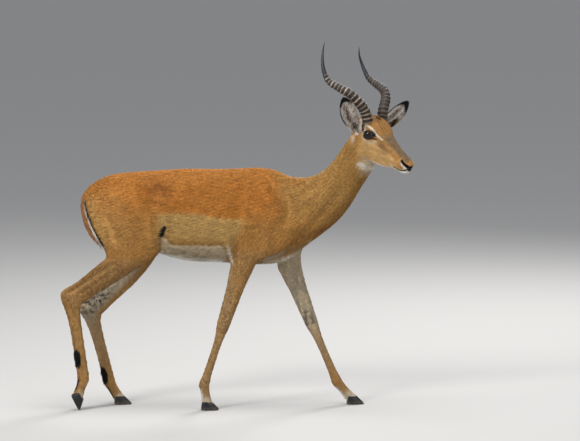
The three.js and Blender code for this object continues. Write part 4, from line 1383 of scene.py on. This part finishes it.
def bare_skin(p):
    """1 where no hair grows: the nostrils, lips' edge, nose pad, lids and the horns' roots."""
    q = in_head(p)
    flat = q[:, [0, 2]]
    on_head = head_share(p)
    bare = on_head * step(4.4, 3.4, path_away(flat, NOSTRIL)[0]) * (np.abs(q[:, 1]) > 4)
    bare = np.maximum(bare, on_head * step(2.4, 1.6, path_away(flat, MOUTH)[0]))
    bare = np.maximum(bare, on_head * step(5, 3, np.abs(q[:, 1])) * step(172, 178, q[:, 0]) * (q[:, 2] > -22))
    for side in SIDES:
        _, away, edge, _ = eye_place(p, side)
        bare = np.maximum(bare, (away < LIDS_REACH) * step(3.0, 2.2, edge))
        bare = np.maximum(bare, step(17.5, 16, horn_gap(p, side)))
    return bare


def in_a_claw(p):
    """True inside the box of a hoof, where hair would poke through the horn."""
    inside = np.zeros(len(p), dtype=bool)
    places = to_m(p)
    for node in frame["nodes"]:
        if node.startswith("hoof"):
            low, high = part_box(node)
            top = high.z - (0.006 if high.z - low.z < 0.04 else 0.016)  # the tilted claws are taller
            along = (places[:, 0] > low.x - 0.002) & (places[:, 0] < high.x + 0.002)
            inside |= (places[:, 2] < top) & along
    return inside


length, width, lift, close = lock_sizes(face_middle, face_normal)
room = close * length * width * LOCK_AREA  # skin area for one lock, mm2
expected = face_area / room * (1 - bare_skin(face_middle)) * ~in_a_claw(face_middle)
number = np.floor(expected + rng.random(len(expected))).astype(int)
print("locks:", number.sum())

# %% Locks as one array


def scatter(faces):
    """A root in each of the given faces: place, normal and place on the unwrap."""
    a, b = rng.random((2, len(faces), 1))
    flip = (a + b) > 1
    a, b = np.where(flip, 1 - a, a), np.where(flip, 1 - b, b)
    weights = [1 - a - b, a, b]
    place = sum(w * skin_mm[corner_points[faces, k]] for k, w in enumerate(weights))
    normal = unit(sum(w * normals[corner_points[faces, k]] for k, w in enumerate(weights)))
    on_unwrap = sum(w * unwrap[corner_loops[faces, k]] for k, w in enumerate(weights))
    return place, normal, on_unwrap


SIDE_FACES = [(0, 1, 4, 3), (1, 2, 5, 4), (2, 0, 3, 5)]
END_FACES = [(2, 1, 0), (3, 4, 6), (4, 5, 6), (5, 3, 6)]
PATCH = 0.003  # size of a lock's patch on the unwrap
PATCH_PLACES = PATCH * np.array([(-0.5, -0.5), (0.5, -0.5), (0, -0.4),
                                 (-0.4, 0.1), (0.4, 0.1), (0, 0.15), (0, 0.5)])
ROOTED = 0.35  # how deep a lock stands in the skin, mm
SHADES = np.array([0.84, 0.84, 0.86, 0.96, 0.96, 1.0, 1.1])  # a lock is lighter towards its tip


def grow_locks(name, place, normal, on_unwrap, lie, length, width, lift, colours):
    """Builds one piece of coat from roots. Lengths in mm."""
    total = len(place)
    spread = rng.normal(0, 0.16, (total, 1))
    across = np.cross(normal, lie)
    along = unit(lie + across * spread)
    across = np.cross(normal, along)
    length = (length * rng.uniform(0.72, 1.2, total))[:, None]
    half = (width * rng.uniform(0.8, 1.2, total))[:, None] / 2
    lift = (lift * rng.uniform(0.5, 1.35, total))[:, None]
    bend = across * (length * rng.normal(0, 0.06, (total, 1)))
    root = place - normal * ROOTED
    middle = place + along * length * 0.5 + normal * (0.08 + lift * 0.42) + bend
    tip = place + along * length + normal * lift
    points = np.stack([
        root - across * half, root + across * half, root + normal * 0.55 * half,
        middle - across * half * 0.8 - normal * 0.15, middle + across * half * 0.8 - normal * 0.15,
        middle + normal * 0.4 * half, tip], axis=1)
    mesh = bpy.data.meshes.new(name)
    mesh.vertices.add(total * 7)
    mesh.vertices.foreach_set("co", to_m(points.reshape(-1, 3)).ravel())
    loops = [k for face in SIDE_FACES + END_FACES for k in face]
    sizes = [len(face) for face in SIDE_FACES + END_FACES]
    mesh.loops.add(total * len(loops))
    all_loops = (np.arange(total)[:, None] * 7 + np.array(loops)[None]).ravel()
    mesh.loops.foreach_set("vertex_index", all_loops.astype(np.int32))
    mesh.polygons.add(total * len(sizes))
    starts = np.arange(total)[:, None] * len(loops) + (np.cumsum(sizes) - sizes)[None]
    mesh.polygons.foreach_set("loop_start", starts.ravel().astype(np.int32))
    mesh.update(calc_edges=True)
    uv = mesh.uv_layers.new(name="OFBake")
    places = on_unwrap[:, None, :] + PATCH_PLACES[loops][None]
    uv.data.foreach_set("uv", places.reshape(-1).astype(np.float32))
    own = rng.normal(1, 0.085, (total, 1, 1))
    tint = mesh.attributes.new("markings", "FLOAT_COLOR", "POINT")
    rgb = np.clip(colours[:, None, :] * SHADES[None, :, None] * own, 0.003, 1)
    rgba = np.concatenate([rgb, np.ones((total, 7, 1))], axis=2)
    tint.data.foreach_set("color", rgba.reshape(-1))
    piece = new_object(name, mesh)
    alone(piece)
    bpy.ops.object.shade_smooth()
    return piece


faces = np.repeat(np.arange(len(number)), number)
place, normal, on_unwrap = scatter(faces)
lie = coat_lie(place, normal)
length, width, lift, close = lock_sizes(place, normal)
clump = clumps(place, lie)
colours = coat_colours(place, normal) * (1 + 0.26 * clump * (1 - 0.5 * head_share(place)))[:, None]
lift = lift * (1 + 0.3 * clump)
print(len(place), "roots")

# %% One piece of coat for each stretch of the body
LARGEST = 19000  # locks in one piece
on_head = head_share(place) > 0.5
on_ear = ear_place(place, normal)[3] > 0.3
x, y, z = place.T
on_leg = (z < 500) & ~on_head
on_neck = (x > 300) & ~on_head & ~on_leg
REGIONS = {
    "ears": on_ear,
    "face": on_head & ~on_ear,
    "neck": on_neck,
    "forelegs": on_leg & (x > BETWEEN_LEGS),
    "hindlegs": on_leg & (x <= BETWEEN_LEGS),
    "shoulders": (x > 60) & ~on_neck & ~on_head & ~on_leg & ~on_ear,
    "barrel": (x > -160) & (x <= 60) & ~on_leg,
    "quarters": (x <= -160) & ~on_leg,
}
for region, mask in REGIONS.items():
    chosen = np.flatnonzero(mask)
    chosen = chosen[np.argsort(place[chosen, 0], kind="stable")]
    parts = max(1, math.ceil(len(chosen) / LARGEST))
    for k, share in enumerate(np.array_split(chosen, parts)):
        name = "coat_" + region + (f"_{k + 1}" if parts > 1 else "")
        pieces[name] = grow_locks(name, place[share], normal[share], on_unwrap[share], lie[share],
                                  length[share], width[share], lift[share], colours[share])
        print(name, len(share), "locks")

# %% [markdown]
# ## Finishes
# Effects that several materials share are node groups: the grain of hair, and soft mottling. Each
# material then keeps its own shader. Colours come from the painted markings, which carry painted light
# and shade too, and every pattern follows the object's own coordinates, so nothing slides when the
# view changes.

# %% Node groups


def new_group(name, inputs, outputs):
    """A node group with these sockets, and its two inner ends."""
    group = bpy.data.node_groups.new(name, "ShaderNodeTree")
    for label, kind, value in inputs:
        socket = group.interface.new_socket(label, in_out="INPUT", socket_type=kind)
        if value is not None:
            socket.default_value = value
    for label, kind in outputs:
        group.interface.new_socket(label, in_out="OUTPUT", socket_type=kind)
    return group, group.nodes.new("NodeGroupInput"), group.nodes.new("NodeGroupOutput")


def add_node(tree, kind, settings=None, **values):
    """A node with these settings. Sockets are given by name or by number, as in _0."""
    node = tree.nodes.new(kind)
    for name, value in (settings or {}).items():
        setattr(node, name, value)
    for name, value in values.items():
        socket = node.inputs[int(name[1:])] if name[1:].isdigit() else node.inputs[name.replace("_", " ")]
        if isinstance(value, bpy.types.NodeSocket):
            tree.links.new(value, socket)
        else:
            socket.default_value = value
    return node


def maths(tree, operation, *values):
    sockets = {f"_{k}": value for k, value in enumerate(values)}
    return add_node(tree, "ShaderNodeMath", {"operation": operation}, **sockets).outputs[0]


def mix(tree, share, a, b, blend="MIX"):
    """Colour b over colour a by this share."""
    settings = {"data_type": "RGBA", "blend_type": blend}
    return add_node(tree, "ShaderNodeMix", settings, _0=share, _6=a, _7=b).outputs[2]


def soft_edge(tree, value, low, high):
    """0 at low and 1 at high."""
    return add_node(tree, "ShaderNodeMapRange", Value=value, From_Min=low, From_Max=high).outputs["Result"]


hair_grain, g_in, g_out = new_group(
    "hair_grain",
    [("Vector", "NodeSocketVector", None), ("Along", "NodeSocketFloat", 60.0),
     ("Across", "NodeSocketFloat", 520.0)],
    [("Height", "NodeSocketFloat"), ("Tone", "NodeSocketFloat")])
stretch = add_node(hair_grain, "ShaderNodeCombineXYZ", X=g_in.outputs["Along"],
                   Y=g_in.outputs["Across"], Z=g_in.outputs["Across"])
scaled = add_node(hair_grain, "ShaderNodeVectorMath", {"operation": "MULTIPLY"},
                  _0=g_in.outputs["Vector"], _1=stretch.outputs[0])
strands = add_node(hair_grain, "ShaderNodeTexNoise", Vector=scaled.outputs[0], Scale=1.0,
                   Detail=4.0, Roughness=0.62)
broad_strands = add_node(hair_grain, "ShaderNodeTexNoise", Vector=scaled.outputs[0], Scale=0.22, Detail=2.0)
hair_grain.links.new(strands.outputs["Fac"], g_out.inputs["Height"])
both = maths(hair_grain, "ADD", maths(hair_grain, "MULTIPLY", strands.outputs["Fac"], 0.55),
             maths(hair_grain, "MULTIPLY", broad_strands.outputs["Fac"], 0.45))
hair_grain.links.new(both, g_out.inputs["Tone"])

mottling, g_in, g_out = new_group(
    "mottling", [("Vector", "NodeSocketVector", None), ("Scale", "NodeSocketFloat", 20.0)],
    [("Mask", "NodeSocketFloat")])
blotches = add_node(mottling, "ShaderNodeTexNoise", Vector=g_in.outputs["Vector"],
                    Scale=g_in.outputs["Scale"], Detail=5.0, Roughness=0.55)
mottling.links.new(soft_edge(mottling, blotches.outputs["Fac"], 0.3, 0.7), g_out.inputs["Mask"])
print("node groups:", hair_grain.name, mottling.name)

# %% Materials


def new_material(name, roughness, **constants):
    """A material with its tree and shader. Constants sit on the shader's own sockets."""
    material = bpy.data.materials.new(name)
    material.use_nodes = True
    tree = material.node_tree
    shader = tree.nodes["Principled BSDF"]
    shader.inputs["Roughness"].default_value = roughness
    for socket, value in constants.items():
        shader.inputs[socket.replace("_", " ")].default_value = value
    return material, tree, shader


def place_group(tree, group, **values):
    """Puts a node group into a material's tree."""
    return add_node(tree, "ShaderNodeGroup", {"node_tree": group}, **values)


def own_place(tree):
    """The place in the object's own coordinates."""
    return add_node(tree, "ShaderNodeTexCoord").outputs["Object"]


def attribute(tree, name, output):
    """What an attribute of the mesh says at each place."""
    return add_node(tree, "ShaderNodeAttribute", {"attribute_name": name}).outputs[output]


def bump(tree, shader, height, strength, distance):
    """Fine relief. The distance is in metres."""
    node = add_node(tree, "ShaderNodeBump", Height=height, Strength=strength, Distance=distance)
    tree.links.new(node.outputs["Normal"], shader.inputs["Normal"])


def brighten(tree, colour, factor):
    """Multiplies a colour by a factor that varies over the surface."""
    grey = add_node(tree, "ShaderNodeCombineXYZ", X=factor, Y=factor, Z=factor)
    return mix(tree, 1.0, colour, grey.outputs[0], "MULTIPLY")


def uneven_fur(tree, own):
    """Lighter and darker clumps of fur, from hand size down to a few hairs."""
    broad = place_group(tree, mottling, Vector=own, Scale=14.0).outputs["Mask"]
    small = place_group(tree, mottling, Vector=own, Scale=95.0).outputs["Mask"]
    return maths(tree, "MULTIPLY", maths(tree, "MULTIPLY_ADD", broad, 0.16, 0.92),
                 maths(tree, "MULTIPLY_ADD", small, 0.3, 0.86))


def turned(tree, vector, angles):
    """The same place in turned axes."""
    return add_node(tree, "ShaderNodeMapping", Vector=vector, Rotation=angles).outputs[0]


skin_finish, tree, shader = new_material("short_fur", 0.72, Specular_IOR_Level=0.1)
own = own_place(tree)
painted = attribute(tree, "markings", "Color")
shares = add_node(tree, "ShaderNodeSeparateXYZ", Vector=attribute(tree, "grain", "Vector"))
head_turn = tuple(Matrix(head_axes.T.tolist()).to_euler())
# Turn of the grain, then how fine it is along and across the hair: trunk, neck, legs and head.
GRAINS = [((0, 0.16, 0), 70, 560), ((0, 0.92, 0), 70, 560), ((0, math.pi / 2, 0), 90, 700),
          (head_turn, 130, 900)]
grains = [place_group(tree, hair_grain, Vector=turned(tree, own, angles), Along=along, Across=across)
          for angles, along, across in GRAINS]


def by_share(output):
    """Mixes the head's, trunk's, neck's and legs' grain by the painted shares."""
    value = grains[3].outputs[output]
    for k, label in enumerate("XYZ"):
        value = add_node(tree, "ShaderNodeMix", {"data_type": "FLOAT"}, _0=shares.outputs[label],
                         _2=value, _3=grains[k].outputs[output]).outputs[0]
    return value


tone = maths(tree, "MULTIPLY_ADD", by_share("Tone"), 1.1, 0.40)
tone = maths(tree, "MULTIPLY", tone, uneven_fur(tree, own))
tree.links.new(brighten(tree, painted, tone), shader.inputs["Base Color"])
bump(tree, shader, by_share("Height"), 0.55, 0.0012)
skin.data.materials.clear()
skin.data.materials.append(skin_finish)

lock_finish, tree, shader = new_material("coat_locks", 0.62, Specular_IOR_Level=0.14)
own = own_place(tree)
painted = attribute(tree, "markings", "Color")
strands = add_node(tree, "ShaderNodeTexNoise", Vector=own, Scale=900.0, Detail=2.0)
tone = maths(tree, "MULTIPLY_ADD", strands.outputs["Fac"], 0.5, 0.75)
tone = maths(tree, "MULTIPLY", tone, uneven_fur(tree, own))
tree.links.new(brighten(tree, painted, tone), shader.inputs["Base Color"])
bump(tree, shader, strands.outputs["Fac"], 0.25, 0.0004)
for name, piece in pieces.items():
    if name.startswith("coat_"):
        piece.data.materials.append(lock_finish)
print("fur finishes made")

# %% Horn, hoof and eye finishes
HORN_LOW = (0.026, 0.016, 0.010, 1), (0.36, 0.26, 0.165, 1)  # groove and crest at the root
HORN_HIGH = (0.016, 0.013, 0.012, 1), (0.42, 0.40, 0.39, 1)  # and near the tip
# the tip's own near-black, with a blue tint as a painted sheen
HORN_TIP_WITH_SHEEN = (0.018, 0.020, 0.028, 1)
HOOF_WALL = (0.007, 0.007, 0.008, 1), (0.022, 0.021, 0.023, 1)
DUST = (0.16, 0.12, 0.085, 1)
LID_SKIN = (0.008, 0.007, 0.007, 1), (0.03, 0.024, 0.02, 1)
IRIS = (0.006, 0.003, 0.002, 1), (0.030, 0.013, 0.006, 1)
EYE_WHITE = (0.008, 0.005, 0.004, 1), (0.035, 0.022, 0.016, 1)
PUPIL = (0.0015, 0.0015, 0.002, 1)
PUPIL_HALF = (7.4, 4.3)  # half its length and height, mm

horn_finish, tree, shader = new_material("ringed_horn", 0.5, Specular_IOR_Level=0.35)
own = own_place(tree)
along = attribute(tree, "horn_along", "Fac")
crest = attribute(tree, "horn_crest", "Fac")
mottle = place_group(tree, mottling, Vector=own, Scale=90.0).outputs["Mask"]
scratches = add_node(tree, "ShaderNodeTexNoise", Vector=own, Scale=420.0, Detail=4.0, Roughness=0.7)
sharp_crest = maths(tree, "MULTIPLY", maths(tree, "POWER", crest, 3.0),
                    maths(tree, "MULTIPLY_ADD", scratches.outputs["Fac"], 1.9, -0.15))
low = mix(tree, sharp_crest, *HORN_LOW)
high = mix(tree, sharp_crest, *HORN_HIGH)
ringed = mix(tree, soft_edge(tree, along, 0.0, 1.0), low, high)
tip = soft_edge(tree, along, 0.62, 0.78)
# The tip's near-black carries a painted bluish sheen.
colour = mix(tree, tip, ringed, HORN_TIP_WITH_SHEEN)
grime = maths(tree, "MULTIPLY_ADD", mottle, 0.9, 0.55)
tree.links.new(brighten(tree, colour, grime), shader.inputs["Base Color"])
smoother = maths(tree, "MULTIPLY_ADD", tip, -0.22, 0.55)
rough = maths(tree, "ADD", smoother, maths(tree, "MULTIPLY", mottle, 0.12))
tree.links.new(rough, shader.inputs["Roughness"])
bump(tree, shader, scratches.outputs["Fac"], 0.3, 0.0006)

hoof_finish, tree, shader = new_material("hoof_wall", 0.36, Specular_IOR_Level=0.3)
own = own_place(tree)
flat_place = add_node(tree, "ShaderNodeMapping", Vector=own, Scale=(60, 60, 700)).outputs[0]
rows = add_node(tree, "ShaderNodeTexNoise", Vector=flat_place, Scale=1.0, Detail=3.0)
dust = place_group(tree, mottling, Vector=own, Scale=120.0).outputs["Mask"]
low_down = soft_edge(tree, add_node(tree, "ShaderNodeSeparateXYZ", Vector=own).outputs["Z"], 0.016, 0.0)
dusty = maths(tree, "MULTIPLY", maths(tree, "MULTIPLY", low_down, dust), 0.75)
colour = mix(tree, rows.outputs["Fac"], *HOOF_WALL)
tree.links.new(mix(tree, dusty, colour, DUST), shader.inputs["Base Color"])
tree.links.new(maths(tree, "MULTIPLY_ADD", dusty, 0.5, 0.34), shader.inputs["Roughness"])
bump(tree, shader, rows.outputs["Fac"], 0.3, 0.0006)

rim_finish, tree, shader = new_material("lid_skin", 0.38, Specular_IOR_Level=0.3)
own = own_place(tree)
pores = add_node(tree, "ShaderNodeTexNoise", Vector=own, Scale=700.0, Detail=3.0)
tree.links.new(mix(tree, pores.outputs["Fac"], *LID_SKIN), shader.inputs["Base Color"])
bump(tree, shader, pores.outputs["Fac"], 0.35, 0.0004)

eye_finish, tree, shader = new_material("wet_eye", 0.04, Specular_IOR_Level=0.3)
parts = add_node(tree, "ShaderNodeSeparateXYZ", Vector=attribute(tree, "eye_place", "Vector"))
wide = maths(tree, "POWER", maths(tree, "DIVIDE", parts.outputs["X"], PUPIL_HALF[0]), 2.0)
tall = maths(tree, "POWER", maths(tree, "DIVIDE", parts.outputs["Y"], PUPIL_HALF[1]), 2.0)
pupil = soft_edge(tree, maths(tree, "ADD", wide, tall), 1.12, 0.9)
angle = maths(tree, "ARCTAN2", parts.outputs["Y"], parts.outputs["X"])
polar = add_node(tree, "ShaderNodeCombineXYZ", X=maths(tree, "MULTIPLY", angle, 9.0),
                 Y=maths(tree, "MULTIPLY", parts.outputs["Z"], 0.12))
spokes = add_node(tree, "ShaderNodeTexNoise", Vector=polar.outputs[0], Scale=2.0, Detail=3.0)
iris = mix(tree, spokes.outputs["Fac"], *IRIS)
white = mix(tree, soft_edge(tree, parts.outputs["Z"], 12.5, 17.5), *EYE_WHITE)
colour = mix(tree, soft_edge(tree, parts.outputs["Z"], 10.4, 11.6), iris, white)
tree.links.new(mix(tree, pupil, colour, PUPIL), shader.inputs["Base Color"])

FINISHES = {"cur": horn_finish, "cla": hoof_finish, "lid": rim_finish, "eye": eye_finish}
for name, piece in pieces.items():
    if name[:3] in FINISHES:
        piece.data.materials.clear()
        piece.data.materials.append(FINISHES[name[:3]])
print(len(bpy.data.materials), "materials")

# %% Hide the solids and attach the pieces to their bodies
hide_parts(*flesh, "ear_left", "ear_right")
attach(skin, "root")
for side in ("left", "right"):
    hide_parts("eye_" + side)
    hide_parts("horn_" + side)
for name, piece in pieces.items():
    if name.startswith("claw"):
        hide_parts(name.replace("claw", "hoof"))
    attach(piece, "root")
bpy.ops.object.select_all(action="DESELECT")
